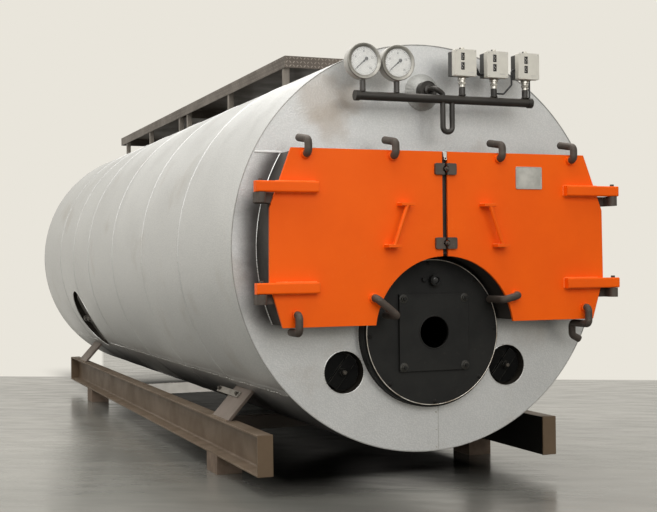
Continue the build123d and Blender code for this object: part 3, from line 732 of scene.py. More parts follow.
@dataclass
class Surface:
    """Points, four-sided faces and end caps of one mesh, as whole arrays."""

    points: Array
    quads: Array
    caps: list[list[int]] = field(default_factory=list)

    def placed(self, origin: Array, across: Array = FRONT_ACROSS,
               out: Array = FRONT_OUT) -> "Surface":
        """Moves the surface to a place: local x goes across, local z goes out, both as on the front if not given.

        Args:
            origin: The place of the local origin.
            across: Unit direction of local x.
            out: Unit direction of local z.

        Returns:
            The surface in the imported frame.
        """
        across = np.asarray(across, float)
        out = np.asarray(out, float)
        axes = np.stack((across, np.cross(out, across), out))
        return Surface(self.points @ axes + np.asarray(origin, float), self.quads, self.caps)

    def spread(self, origins: Array, across: Array = FRONT_ACROSS,
               out: Array = FRONT_OUT) -> "Surface":
        """Repeats the surface at many places at once, turned as on the front if no directions are given.

        Args:
            origins: One place a row.
            across: The direction of local x, one a row or one for all.
            out: The direction of local z, one a row or one for all.

        Returns:
            All the copies as one surface.
        """
        origins = np.asarray(origins, float)
        count = len(origins)
        across = np.broadcast_to(np.asarray(across, float), (count, 3))
        out = np.broadcast_to(np.asarray(out, float), (count, 3))
        axes = np.stack((across, np.cross(out, across), out), axis=1)
        points = np.einsum("pk,ckx->cpx", self.points, axes) + origins[:, None, :]
        steps = np.arange(count)[:, None, None] * len(self.points)
        quads = (self.quads[None] + steps).reshape(-1, 4)
        caps = [[int(corner) + copy * len(self.points) for corner in cap]
                for copy in range(count) for cap in self.caps]
        return Surface(points.reshape(-1, 3), quads, caps)


def joined(surfaces: list[Surface]) -> Surface:
    """Puts several surfaces into one mesh.

    Args:
        surfaces: The surfaces.

    Returns:
        One surface with all their points and faces.
    """
    starts = np.cumsum([0] + [len(item.points) for item in surfaces[:-1]])
    caps = [[corner + int(start) for corner in cap]
            for item, start in zip(surfaces, starts) for cap in item.caps]
    quads = np.concatenate([item.quads + start for item, start in zip(surfaces, starts)])
    return Surface(np.concatenate([item.points for item in surfaces]), quads, caps)


def grid(points: Array, wrap_rows: bool = False, wrap_columns: bool = False, caps: bool = False) -> Surface:
    """Faces over a grid of points.

    Args:
        points: Array of rows, columns and three coordinates.
        wrap_rows: Joins the last row to the first.
        wrap_columns: Joins the last column to the first.
        caps: Closes the first and last rows with one face each.

    Returns:
        The grid as a surface.
    """
    rows, columns = points.shape[:2]
    index = np.arange(rows * columns).reshape(rows, columns)
    ends = [index[0, ::-1].tolist(), index[-1].tolist()] if caps else []
    if wrap_rows:
        index = np.vstack((index, index[:1]))
    if wrap_columns:
        index = np.hstack((index, index[:, :1]))
    quads = np.stack((index[:-1, :-1], index[:-1, 1:], index[1:, 1:], index[1:, :-1]), axis=-1)
    return Surface(points.reshape(-1, 3), quads.reshape(-1, 4), ends)


def turned(profile: list[Pair], segments: int = 48, loop: bool = False) -> Surface:
    """A profile of (radius, height) turned about local z: (r cos a, r sin a, h).

    Args:
        profile: The points of the profile, bottom first.
        segments: Steps round the axis.
        loop: Closes the profile into a ring section.

    Returns:
        The turned surface, with flat ends unless it is a ring.
    """
    turn = np.linspace(0, TAU, segments, endpoint=False)
    radius, height = np.array(profile, float).T
    points = np.stack((radius[:, None] * np.cos(turn), radius[:, None] * np.sin(turn),
                       np.repeat(height[:, None], segments, axis=1)), axis=-1)
    return grid(points, wrap_rows=loop, wrap_columns=True, caps=not loop)


def ring_section(radius: float, height: float, count: int = 10) -> Array:
    """Offsets of an oval section: (radius cos a, height sin a)."""
    turn = np.linspace(0, TAU, count, endpoint=False)
    return np.stack((radius * np.cos(turn), height * np.sin(turn)), axis=-1)


def hoop(radius: float, thickness: float, height: float, segments: int = 96) -> Surface:
    """A ring of oval section round local z."""
    section = ring_section(thickness, height) + (radius, 0.0)
    return turned([tuple(point) for point in section], segments, loop=True)


def rounded_box(width: float, height: float, corner: float, steps: int = 4) -> Array:
    """Outline of a rectangle with quarter-circle corners, anticlockwise.

    Args:
        width: Its size across.
        height: Its size up.
        corner: The radius of its corners.
        steps: Steps round each corner.

    Returns:
        The outline's points.
    """
    turn = np.linspace(0, TAU / 4, steps + 1)
    quarter = corner * np.stack((np.cos(turn), np.sin(turn)), axis=-1)
    middles = np.array(((1, 1), (-1, 1), (-1, -1), (1, -1))) * (width / 2 - corner, height / 2 - corner)
    turns = np.array(((0, 1), (-1, 0)))
    arcs = [quarter @ np.linalg.matrix_power(turns, step) + middle for step, middle in enumerate(middles)]
    return np.concatenate(arcs)


def facing(turn: Array | float) -> Array:
    """Directions in the upright plane of the front: (cos a, 0, sin a)."""
    return np.stack((np.cos(turn), 0 * turn, np.sin(turn)), axis=-1)


def hexagon(radius: float) -> Array:
    """Outline of a regular hexagon."""
    turn = np.arange(6) * TAU / 6
    return radius * np.stack((np.cos(turn), np.sin(turn)), axis=-1)


def pressed(outline: Array, profile: list[Pair]) -> Surface:
    """A plate: the outline, moved in by each step's inset, at that step's height.

    Args:
        outline: A convex outline, anticlockwise.
        profile: Pairs of inset and height, bottom first.

    Returns:
        A closed plate, with flat faces at both ends.
    """
    ahead = np.roll(outline, -1, axis=0) - outline
    ahead /= np.linalg.norm(ahead, axis=1, keepdims=True)
    behind = np.roll(ahead, 1, axis=0)
    inward = np.stack((-(ahead + behind)[:, 1], (ahead + behind)[:, 0]), axis=-1)
    inward *= 2 / np.sum((ahead + behind) ** 2, axis=1, keepdims=True)
    inset, height = np.array(profile, float).T
    flat = outline[None] + inset[:, None, None] * inward[None]
    tall = np.broadcast_to(height[:, None, None], (*flat.shape[:2], 1))
    return grid(np.concatenate((flat, tall), axis=-1), wrap_columns=True, caps=True)


def carried(section: Array, path: Array, up: Array, loop: bool = False,
            swell: Array | None = None) -> Surface:
    """A section carried along a flat path.

    Args:
        section: Offsets to the side and along up.
        path: The points of the path.
        up: The direction that the path's plane faces.
        loop: Joins the path's ends.
        swell: A factor on the section at each point of the path.

    Returns:
        A closed tube or strip.
    """
    if loop:
        ahead = np.roll(path, -1, axis=0) - np.roll(path, 1, axis=0)
    else:
        ahead = np.gradient(path, axis=0)
    ahead = ahead / np.linalg.norm(ahead, axis=1, keepdims=True)
    up = np.broadcast_to(np.asarray(up, float), path.shape)
    side = np.cross(ahead, up)
    size = np.ones(len(path)) if swell is None else swell
    size = size[:, None, None]
    points = (path[:, None] + size * section[None, :, :1] * side[:, None]
              + size * section[None, :, 1:] * up[:, None])
    return grid(points, wrap_rows=loop, wrap_columns=True, caps=not loop)


def weld_bead(start: Array, end: Array, up: Array, radius: float = 0.006) -> Surface:
    """A fused seam: a round section whose size ripples along a straight line.

    Args:
        start: One end of the seam.
        end: Its other end.
        up: A direction across the seam.
        radius: The seam's usual radius.

    Returns:
        The closed seam.
    """
    start, end = np.asarray(start, float), np.asarray(end, float)
    length = float(np.linalg.norm(end - start))
    steps = max(8, int(length / (0.7 * radius)))
    share = np.linspace(0, 1, steps)
    ripple = 1 + 0.16 * np.sin(np.arange(steps) * TAU / 3) + 0.08 * np.sin(share * length * 90)
    ripple[[0, -1]] = 0.35
    return carried(ring_section(radius, radius, 8), start + share[:, None] * (end - start), up, swell=ripple)


def hex_nut(radius: float, height: float) -> Surface:
    """A hexagonal nut with chamfered ends."""
    return pressed(hexagon(radius), [(0.12 * radius, 0.0), (0.0, 0.1 * height), (0.0, 0.86 * height),
                                     (0.14 * radius, height)])


def washer(radius: float, height: float) -> Surface:
    """A round washer with softened edges."""
    return turned([(radius * 0.96, 0.0), (radius, 0.2 * height), (radius, 0.7 * height), (radius * 0.93, height)], 24)


def rivet(radius: float, height: float) -> Surface:
    """A low domed head: height falls with the square of the radius."""
    share = np.array((1.0, 0.97, 0.75, 0.4))
    return turned([(radius * s, height * (1 - s * s)) for s in share], 10)


def fastener(radius: float, height: float) -> Surface:
    """A washer, a nut and the round end of its stud, standing on local z = 0.

    Args:
        radius: The nut's radius over its corners.
        height: The nut's height.

    Returns:
        The three as one surface.
    """
    foot = washer(1.5 * radius, 0.2 * height)
    nut = hex_nut(radius, height)
    nut.points = nut.points + (0, 0, 0.2 * height)
    tip = turned([(0.55 * radius, height), (0.55 * radius, 1.55 * height), (0.42 * radius, 1.7 * height)], 12)
    return joined([foot, nut, tip])


class Workshop:
    """Holds the finishes and turns surfaces into pieces."""

    def __init__(self, finishes: list[Finish]) -> None:
        """Builds each finish once."""
        effects = SharedEffects()
        self.materials = {finish.name: finish.material(effects) for finish in finishes}

    def piece(self, name: str, surface: Surface, finish: str, slot: Slot, body: Body = Body.BOILER) -> None:
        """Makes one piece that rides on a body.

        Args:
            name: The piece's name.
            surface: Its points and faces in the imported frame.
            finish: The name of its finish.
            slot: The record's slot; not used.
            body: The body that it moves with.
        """
        mesh = bpy.data.meshes.new(name)
        mesh.from_pydata(surface.points.tolist(), [], surface.quads.tolist() + surface.caps)
        shell = bmesh.new()
        shell.from_mesh(mesh)
        bmesh.ops.remove_doubles(shell, verts=shell.verts, dist=SAME_POINT)
        bmesh.ops.recalc_face_normals(shell, faces=shell.faces)
        shell.to_mesh(mesh)
        shell.free()
        mesh.shade_smooth()
        mesh.set_sharp_from_angle(angle=SHARP_EDGE)
        made = bpy.data.objects.new(name, mesh)
        made.data.materials.append(self.materials[finish])
        bpy.context.scene.collection.objects.link(made)
        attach(made, body.value)
        LOG.info("piece %s: %d faces on %s", name, len(mesh.polygons), body.value)

    def dress(self, finish: str, *nodes: str) -> None:
        """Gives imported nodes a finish.

        Args:
            finish: The finish's name.
            nodes: The nodes' names.
        """
        for name in nodes:
            materials = frame["nodes"][name].data.materials
            materials.clear()
            materials.append(self.materials[finish])


HAND_NECK_RADIUS = 0.088


def hand_holes(y: float) -> Array:
    """Centres of the two hand holes at one depth, the left one first."""
    low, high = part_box("hand_hole_covers")
    return np.array([(side * (high.x - HAND_NECK_RADIUS), y, (low.z + high.z) / 2) for side in (-1, 1)])


@dataclass(frozen=True)
class Casing:
    """The clad drum: its sheet laps, rivets, lips and the trims round its openings."""

    axis_z: float
    radius: float
    front_y: float
    rear_y: float
    ring_ends: tuple[float, ...]
    lap_width: float = 0.024
    lap_height: float = 0.0016
    bead_height: float = 0.0021
    seam_width: float = 0.006
    rivet_radius: float = 0.0042
    rivet_height: float = 0.0022
    rivet_pitch: float = 0.155
    lip_radius: float = 0.0026
    lip_inset: float = 0.0012
    long_lap_angle: float = 223.9
    long_lap_width: float = 0.03
    long_lap_inset: float = 0.014
    long_lap_lift: float = 0.0034
    crimp_pitch: float = 0.047
    crimp_size: Pair = (0.026, 0.007)
    crimp_height: float = 0.0045
    crimp_margin: float = 0.05
    manhole_angle: float = 211.2
    manhole_reach: float = 0.276
    hand_hole_radius: float = 0.103
    seam_shift: float = 0.057
    leg_half_angle: float = 1.1
    leg_half_width: float = 0.15
    leg_half_thickness: float = 0.011

    @classmethod
    def from_frame(cls) -> "Casing":
        """Reads the casing's axis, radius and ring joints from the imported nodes.

        Returns:
            The casing with those sizes.
        """
        low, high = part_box("cladding_ring_1")
        names = sorted(name for name in frame["nodes"] if name.startswith("cladding_ring_"))
        joints = tuple(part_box(name)[1].y for name in names[:-1])
        return cls((low.z + high.z) / 2, (high.x - low.x) / 2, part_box("front_cladding")[0].y,
                   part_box("rear_cladding")[1].y, joints)

    def at(self, angle: Array | float, y: Array | float, radius: Array | float) -> Array:
        """Points on a circle round the axis: (r cos a, y, axis + r sin a).

        Args:
            angle: The angle a in degrees, from the right.
            y: The place along the axis.
            radius: The radius r.

        Returns:
            The points, one a row.
        """
        turn = np.radians(angle)
        return np.stack(np.broadcast_arrays(radius * np.cos(turn), y, self.axis_z + radius * np.sin(turn)), axis=-1)

    def outward(self, angle: Array | float) -> Array:
        """Directions away from the axis at given angles."""
        return self.at(angle, 0.0, 1.0) - (0, 0, self.axis_z)

    @property
    def long_lap_angles(self) -> Pair:
        """The lengthwise laps' angles on the left and, mirrored, on the right."""
        return self.long_lap_angle, 540.0 - self.long_lap_angle

    def gaps(self, y: float) -> list[Pair]:
        """Angles where something stands through the sheet at one place along the axis.

        Args:
            y: The place along the axis.

        Returns:
            Start and end angles in degrees, in rising order.
        """
        found = []
        hole_low, hole_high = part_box("manhole")
        middle = (hole_low.y + hole_high.y) / 2
        if abs(y - middle) < self.manhole_reach:
            half = math.sqrt(self.manhole_reach ** 2 - (y - middle) ** 2)
            reach = math.degrees(math.asin(half / self.radius))
            found.append((self.manhole_angle - reach, self.manhole_angle + reach))
        leg_low, leg_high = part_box("saddle_legs")
        near_leg = min(abs(y - leg_low.y - self.leg_half_width), abs(y - leg_high.y + self.leg_half_width))
        if near_leg < self.leg_half_width + self.lap_width:
            found += [(angle - self.leg_half_angle, angle + self.leg_half_angle) for angle in self.leg_angles()]
        return sorted(found)

    def leg_angles(self) -> Pair:
        """Angles at which the saddle legs meet the casing.

        Returns:
            The left leg's and the right leg's, in degrees.
        """
        low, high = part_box("saddle_legs")
        tilt = math.degrees(math.atan2(self.axis_z - low.z, high.x - self.leg_half_thickness))
        return 180.0 + tilt, 360.0 - tilt

    def arcs(self, y: float) -> list[Pair]:
        """The stretches of a full turn that no gap interrupts.

        Args:
            y: The place along the axis.

        Returns:
            Start and end angles in degrees, from the top round to the top.
        """
        edges = [90.0, *(angle for gap in self.gaps(y) for angle in gap), 450.0]
        return list(zip(edges[::2], edges[1::2]))

    def lap_bands(self) -> Surface:
        """Raised laps where one sheet ring covers the next: a section with a bead at each edge, carried round.

        Returns:
            Its surface.
        """
        along = np.linspace(-self.lap_width / 2, self.lap_width / 2, 17)
        bump = np.exp(-((np.abs(along) / self.lap_width - 0.3) / 0.1) ** 2)
        top = self.lap_height + (self.bead_height - self.lap_height) * bump
        top[[0, -1]] = 0.0002
        return joined(self._bands(along, top, 0.0))

    def seam_shadow_lines(self) -> Surface:
        """Thin dark strips of painted shadow where each lap's free edge lies on the next sheet.

        Returns:
            Its surface.
        """
        along = np.linspace(-self.seam_width / 2, self.seam_width / 2, 4)
        top = np.array((0.0001, 0.0005, 0.0005, 0.0001))
        return joined(self._bands(along, top, self.lap_width / 2 + self.seam_width / 2 - 0.0005))

    def _bands(self, along: Array, top: Array, shift: float) -> list[Surface]:
        """Carries a low section round the axis at each ring joint, with gaps where something stands through.

        Args:
            along: The section's places along the axis.
            top: Its heights over the sheet.
            shift: How far it lies behind the joint.

        Returns:
            One closed strip for each stretch.
        """
        inward = np.concatenate((-top, np.full(len(along), 0.001)))
        section = np.stack((inward, np.concatenate((along, along[::-1]))), axis=-1)
        bands = []
        for y in self.ring_ends:
            for start, end in self.arcs(y):
                turn = np.linspace(start, end, max(12, int((end - start) / 2.0)))
                path = self.at(turn, y + shift, self.radius)
                bands.append(carried(section, path, ALONG))
        return bands

    def rivets(self) -> Surface:
        """Domed rivets along each lap, at an even pitch.

        Returns:
            Its surface.
        """
        step = math.degrees(self.rivet_pitch / self.radius)
        places, outs = [], []
        for y in self.ring_ends:
            for start, end in self.arcs(y):
                turn = np.arange(start + step / 2, end - step / 4, step)
                places.append(self.at(turn, y - 0.001, self.radius + self.lap_height - 0.0002))
                outs.append(self.outward(turn))
        head = rivet(self.rivet_radius, self.rivet_height)
        return head.spread(np.concatenate(places), ALONG, np.concatenate(outs))

    def end_lip(self, y: float) -> Surface:
        """The rolled edge round one end: an oval ring at the casing's radius."""
        lip = hoop(self.radius - self.lip_inset, 1.1 * self.lip_radius, self.lip_radius, 160)
        return lip.placed((0, y, self.axis_z))

    def long_laps(self) -> Surface:
        """Lengthwise sheet edges low on both sides, which wander and lift a little between the rivets.

        Returns:
            Its surface.
        """
        strips = []
        ends = [self.front_y, *self.ring_ends, self.rear_y]
        hole_low, hole_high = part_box("manhole")
        for angle in self.long_lap_angles:
            for number, (start, end) in enumerate(zip(ends, ends[1:])):
                if angle < 270.0 and start < hole_high.y and end > hole_low.y:
                    continue
                along = np.linspace(start + self.long_lap_inset, end - self.long_lap_inset, 60)
                across = np.linspace(0, 1, 5)
                wave = np.sin(along * 17 + number) + 0.6 * np.sin(along * 41 + 2 * number)
                lift = 0.002 + self.long_lap_lift * np.maximum(0, wave)[:, None] * across[None, :] ** 2
                lift[:, 0] = 0.0
                spread_angle = angle + np.degrees(self.long_lap_width * (across - 1.0) / self.radius)[None, :]
                spread_angle = spread_angle + np.degrees(0.0016 * wave / self.radius)[:, None]
                top = self.at(spread_angle, along[:, None], self.radius + lift)
                under = self.at(spread_angle[:, ::-1], along[:, None], self.radius - 0.0004)
                strips.append(grid(np.concatenate((top, under), axis=1), wrap_columns=True, caps=True))
        return joined(strips)

    def lap_crimps(self) -> Surface:
        """Short pressed folds along the lengthwise sheet edges, like a row of stitches.

        Returns:
            Its surface.
        """
        outline = rounded_box(*self.crimp_size, 0.003, 2)
        fold = pressed(outline, [(0.0, 0.0), (0.0, 0.003), (0.0018, self.crimp_height)])
        hole_low, hole_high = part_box("manhole")
        places, outs = [], []
        for angle in self.long_lap_angles:
            along = np.arange(self.front_y + 0.03, self.rear_y - 0.03, self.crimp_pitch)
            if angle < 270.0:
                along = along[(along < hole_low.y - self.crimp_margin) | (along > hole_high.y + self.crimp_margin)]
            turn = angle + 0.12 * np.sin(37.0 * along)
            places.append(self.at(turn, along, self.radius))
            outs.append(self.outward(turn))
        return fold.spread(np.concatenate(places), ALONG, np.concatenate(outs))

    def front_edges(self) -> Surface:
        """Bright sheet edges on the front, down the smoke box's sides.

        Returns:
            Its surface.
        """
        low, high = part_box("smoke_box_sides")
        y = self.front_y - 0.0012
        box_radius = high.x + 0.003
        section = ring_section(0.003, 0.003, 8)
        pieces = []
        for side in (-1, 1):
            span = np.arcsin((np.array((low.z, high.z)) - self.axis_z) / box_radius)
            turn = np.linspace(span[0], span[1], 40)
            arc = np.stack((side * box_radius * np.cos(turn), np.full(40, y),
                            self.axis_z + box_radius * np.sin(turn)), axis=-1)
            pieces.append(carried(section, arc, FRONT_OUT))
        return joined(pieces)

    def front_folds(self) -> Surface:
        """The folded edge of the upper front sheet, from the smoke box's corners out to the rim.

        Returns:
            Its surface.
        """
        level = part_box("smoke_box_sides")[1].z + 0.005
        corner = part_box("smoke_box_top")[1].x + 0.004
        reach = math.sqrt((self.radius - 0.008) ** 2 - (level - self.axis_z) ** 2)
        section = np.array(((-0.0045, -0.001), (-0.0045, 0.0035), (-0.0025, 0.005), (0.0025, 0.005), (0.0045, 0.0035),
                            (0.0045, -0.001)))
        folds = []
        for side in (-1, 1):
            ends = sorted((side * corner, side * reach))
            line = np.linspace((ends[0], self.front_y, level), (ends[1], self.front_y, level), 12)
            folds.append(carried(section, line, FRONT_OUT))
        return joined(folds)

    def front_seam(self) -> Surface:
        """The upright sheet edge under the burner.

        Returns:
            Its surface.
        """
        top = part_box("burner_collar")[0].z - 0.004
        foot = self.axis_z - math.sqrt((self.radius - 0.006) ** 2 - self.seam_shift ** 2)
        line = np.linspace((self.seam_shift, self.front_y, top), (self.seam_shift, self.front_y, foot), 8)
        return carried(ring_section(0.002, 0.0008, 8), line, FRONT_OUT)

    def front_seam_rivets(self) -> Surface:
        """Small bright rivets beside the upright sheet edge.

        Returns:
            Its surface.
        """
        foot = self.axis_z - self.radius
        places = np.array([(self.seam_shift - 0.011, self.front_y, foot + rise) for rise in (0.02, 0.106, 0.19)])
        return rivet(0.0048, 0.0026).spread(places)

    def front_rings(self) -> Surface:
        """Thin bright rims round the hand holes and the burner opening.

        Returns:
            Its surface.
        """
        rim = hoop(self.hand_hole_radius + 0.0005, 0.0022, 0.002, 64)
        rings = [rim.placed(place) for place in hand_holes(self.front_y - 0.001)]
        collar_low, collar_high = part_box("burner_collar")
        collar_z = (collar_low.z + collar_high.z) / 2
        rings.append(hoop(collar_high.x + 0.003, 0.002, 0.0018, 128).placed((0, self.front_y - 0.001, collar_z)))
        return joined(rings)

    def build(self, shop: Workshop) -> None:
        """Makes the casing's pieces and dresses its nodes.

        Args:
            shop: Keeps the finishes and makes the pieces.
        """
        rings = [name for name in frame["nodes"] if name.startswith("cladding_ring_")]
        shop.dress("embossed_sheet", *rings, "rear_cladding")
        shop.dress("front_sheet", "front_cladding")
        shop.dress("mineral_wool", "insulation_mats", "front_insulation", "rear_insulation")
        shop.dress("drum_steel", "pressure_shell", "front_tube_plate", "rear_tube_plate", "smoke_tubes",
                   "furnace_tube", "manhole")
        shop.piece("casing_lap_bands", self.lap_bands(), "embossed_sheet", Slot.CLADDING)
        # Painted shadow along each lap's free edge.
        shop.piece("casing_seam_lines", self.seam_shadow_lines(), "seam_shadow_grey", Slot.CLADDING)
        shop.piece("casing_rivets", self.rivets(), "bright_zinc", Slot.STAINLESS)
        # The lips are greyer than the sheet: painted shade for the dark line at the rolled edge.
        shop.piece("casing_front_lip", self.end_lip(self.front_y), "lip_painted_shade", Slot.CLADDING)
        shop.piece("casing_rear_lip", self.end_lip(self.rear_y), "lip_painted_shade", Slot.CLADDING)
        shop.piece("casing_long_laps", self.long_laps(), "embossed_sheet", Slot.CLADDING)
        shop.piece("casing_lap_crimps", self.lap_crimps(), "bright_edge", Slot.CLADDING)
        shop.piece("front_sheet_edges", self.front_edges(), "bright_edge", Slot.CLADDING)
        # The folds' near-white finish is a painted highlight, for a fold that catches light from above.
        shop.piece("front_sheet_folds", self.front_folds(), "sheet_fold_painted_highlight", Slot.CLADDING)
        shop.piece("front_sheet_seam", self.front_seam(), "seam_faint", Slot.CLADDING)
        shop.piece("front_seam_rivets", self.front_seam_rivets(), "bright_zinc", Slot.STAINLESS)
        shop.piece("front_opening_rims", self.front_rings(), "bright_edge", Slot.CLADDING)


@dataclass(frozen=True)
class Assembly:
    """A sub-assembly, with the workshop that makes its pieces and the casing that carries it."""

    shop: Workshop
    casing: Casing


@dataclass(frozen=True)
class BurnerFront(Assembly):
    """The black burner plate's rim, nuts, peg and sight glass, and the hand holes' studs."""

    rim_thickness: float = 0.0022
    rim_nut_radius: float = 0.008
    rim_nut_inset: float = 0.016
    rim_nut_angles: tuple[float, ...] = (2.0, 48.0, 94.0, 136.0, 182.0, 226.0, 271.0, 318.0)
    flange_nut_radius: float = 0.0155
    stud_reach: float = 0.165
    flange_thickness: float = 0.014

    def build(self) -> None:
        """Makes the burner front's pieces and dresses its nodes."""
        self.shop.dress("burner_black", "burner_plate", "burner_flange", "burner_collar", "sight_port")
        self.shop.dress("hatch_black", "hand_hole_covers")
        plate_low, plate_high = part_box("burner_plate")
        centre = np.array((0.0, plate_low.y, (plate_low.z + plate_high.z) / 2))
        radius = plate_high.x
        rim = hoop(radius - 0.0005, self.rim_thickness, 0.002, 160).placed(centre + (0, 0.001, 0))
        self.shop.piece("burner_plate_rim", rim, "worn_bright", Slot.STAINLESS)
        turn = np.radians(self.rim_nut_angles)
        reach = radius - self.rim_nut_inset
        places = centre + reach * facing(turn)
        nuts = fastener(self.rim_nut_radius, 0.006).spread(places)
        self.shop.piece("burner_plate_nuts", nuts, "burner_black", Slot.BURNER)
        face_y = plate_low.y - self.flange_thickness
        signs = np.array([(x, 0.0, z) for x in (-1, 1) for z in (-1, 1)])
        corners = np.array((0.0, face_y, centre[2])) + self.stud_reach * signs
        foot = joined([washer(0.022, 0.003), hex_nut(self.flange_nut_radius, 0.014)])
        self.shop.piece("burner_flange_nuts", foot.spread(corners), "stud_grey", Slot.BURNER)
        lip = hoop(0.0795, 0.0035, 0.003, 64).placed((0, face_y, centre[2]))
        self.shop.piece("burner_port_lip", lip, "burner_black", Slot.BURNER)
        self._sight_glass()
        self._hand_hole_studs()

    def _sight_glass(self) -> None:
        """The glass in the sight port, its screw ring and the small peg beside it."""
        low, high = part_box("sight_port")
        centre = np.array(((low.x + high.x) / 2, low.y, (low.z + high.z) / 2))
        ring = hoop(0.0205, 0.0045, 0.0035, 40).placed(centre)
        pane = turned([(0.0165, 0.0), (0.0165, 0.003), (0.012, 0.0042), (0.006, 0.0048)], 32)
        pane = pane.placed(centre + (0, 0.0075, 0))
        plate_low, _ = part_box("burner_plate")
        peg = turned([(0.011, 0.0), (0.011, 0.012), (0.009, 0.014)], 20)
        peg = peg.placed((centre[0] - 0.055, plate_low.y, centre[2] + 0.004))
        self.shop.piece("sight_port_ring", joined([ring, peg]), "burner_black", Slot.BURNER)
        self.shop.piece("sight_port_glass", pane, "dark_window", Slot.BURNER)

    def _hand_hole_studs(self) -> None:
        """The round stud end in each hand hole's nut."""
        places = hand_holes(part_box("hand_hole_covers")[0].y + 0.001)
        stud = turned([(0.0105, 0.0), (0.0105, 0.016), (0.008, 0.019)], 20)
        self.shop.piece("hand_hole_studs", stud.spread(places), "worn_steel", Slot.DARK_STEEL)


@dataclass(frozen=True)
class SmokeDoor(Assembly):
    """One smoke-box door: weld seams, and the bare plate on the right one."""

    side: int
    weld_radius: float = 0.005
    tab_weld_radius: float = 0.003
    bar_height: float = 0.05
    tab_length: float = 0.066
    tab_height: float = 0.014
    plate_width: float = 0.147
    plate_height: float = 0.11
    plate_place: Pair = (0.4595, 0.336)

    @property
    def name(self) -> str:
        """The door's node and body name."""
        return "door_right" if self.side > 0 else "door_left"

    @property
    def body(self) -> Body:
        """The body that the door's pieces ride on."""
        return Body.RIGHT if self.side > 0 else Body.LEFT

    def build(self) -> None:
        """Makes the door's pieces and dresses its nodes."""
        self.shop.dress("orange_paint", self.name, f"{self.name}_hinge_bars", f"{self.name}_handle")
        self.shop.dress("hook_steel", f"{self.name}_clamps")
        self.shop.dress("pale_lining", f"{self.name}_lining")
        self.shop.piece(f"{self.name}_welds", self._welds(), "weld_orange", Slot.DOOR_PAINT, self.body)
        if self.side > 0:
            self._bare_plate()

    def _face_y(self) -> float:
        """The door's front face."""
        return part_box(f"{self.name}_hinge_bars")[1].y

    def _welds(self) -> Surface:
        """Seams along the top and bottom of both hinge bars, and at the handle's tabs.

        Returns:
            Its surface.
        """
        low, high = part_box(f"{self.name}_hinge_bars")
        door_low, door_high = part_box(self.name)
        face = self._face_y()
        bar = self.bar_height
        inner = low.x if self.side > 0 else high.x
        outer = door_high.x - 0.03 if self.side > 0 else door_low.x + 0.03
        seams = []
        for bottom in (low.z, high.z - bar):
            for z in (bottom, bottom + bar):
                seams.append(weld_bead((inner, face, z), (outer, face, z), FRONT_OUT, self.weld_radius))
            seams.append(weld_bead((inner, face, bottom), (inner, face, bottom + bar), FRONT_OUT, self.weld_radius))
        grip_low, grip_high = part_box(f"{self.name}_handle")
        tab, tall = self.tab_length, self.tab_height
        tops = ((grip_low.x, grip_high.z), (grip_high.x - tab, grip_low.z + tall))
        if self.side < 0:
            tops = ((grip_high.x - tab, grip_high.z), (grip_low.x, grip_low.z + tall))
        for x, z in tops:
            for level in (z, z - tall):
                seams.append(weld_bead((x, face, level), (x + tab, face, level), FRONT_OUT, self.tab_weld_radius))
        return joined(seams)

    def _bare_plate(self) -> None:
        """A bare bright plate with a raised edge, held by four small rivets."""
        x, z = self.plate_place
        place = (x, self._face_y() + 0.0005, self.casing.axis_z + z)
        outline = rounded_box(self.plate_width, self.plate_height, 0.008)
        plate = pressed(outline, [(0.0, 0.0), (0.0, 0.0035), (0.001, 0.0048), (0.0045, 0.0048), (0.006, 0.0036)])
        self.shop.piece("door_right_plate", plate.placed(place), "bare_plate", Slot.STAINLESS, self.body)
        half = np.array((self.plate_width / 2 - 0.011, self.plate_height / 2 - 0.011))
        signs = np.array([(sx, sz) for sx in (-1, 1) for sz in (-1, 1)])
        corners = np.array(place) + np.stack(
            (signs[:, 0] * half[0], np.full(4, -0.0034), signs[:, 1] * half[1]), axis=-1)
        heads = rivet(0.003, 0.0016).spread(corners)
        self.shop.piece("door_right_plate_rivets", heads, "bright_zinc", Slot.STAINLESS, self.body)


@dataclass(frozen=True)
class SmokeBox(Assembly):
    """The box behind the doors: its finish and the clip in the door gap."""

    clip_width: float = 0.02

    def build(self) -> None:
        """Makes the clip and dresses the box's nodes."""
        self.shop.dress("soot_steel", "smoke_box_sides", "smoke_box_top", "smoke_box_floors", "smoke_box_arch",
                        "smoke_box_mullion")
        self.shop.dress("hook_steel", "hinge_lugs", "hinge_pins", "latch_studs")
        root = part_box("smoke_box_mullion")[0].y
        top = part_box("door_right")[1].z
        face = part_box("door_right")[0].y + 0.016
        outline = rounded_box(self.clip_width, 0.026, 0.003)
        depth = root - face + 0.006
        clip = pressed(outline, [(0.0, 0.0), (0.0, depth - 0.002), (0.002, depth)])
        clip = clip.placed((0.0, root + 0.0005, top - 0.0145))
        ring = hoop(0.0065, 0.002, 0.002, 24).placed((0.0, face - 0.0075, top - 0.034))
        link = turned([(0.004, 0.0), (0.004, depth + 0.0015)], 12)
        link = link.placed((0.0, root + 0.0005, top - 0.0275))
        self.shop.piece("door_gap_clip", joined([clip, ring, link]), "bright_zinc", Slot.STAINLESS)


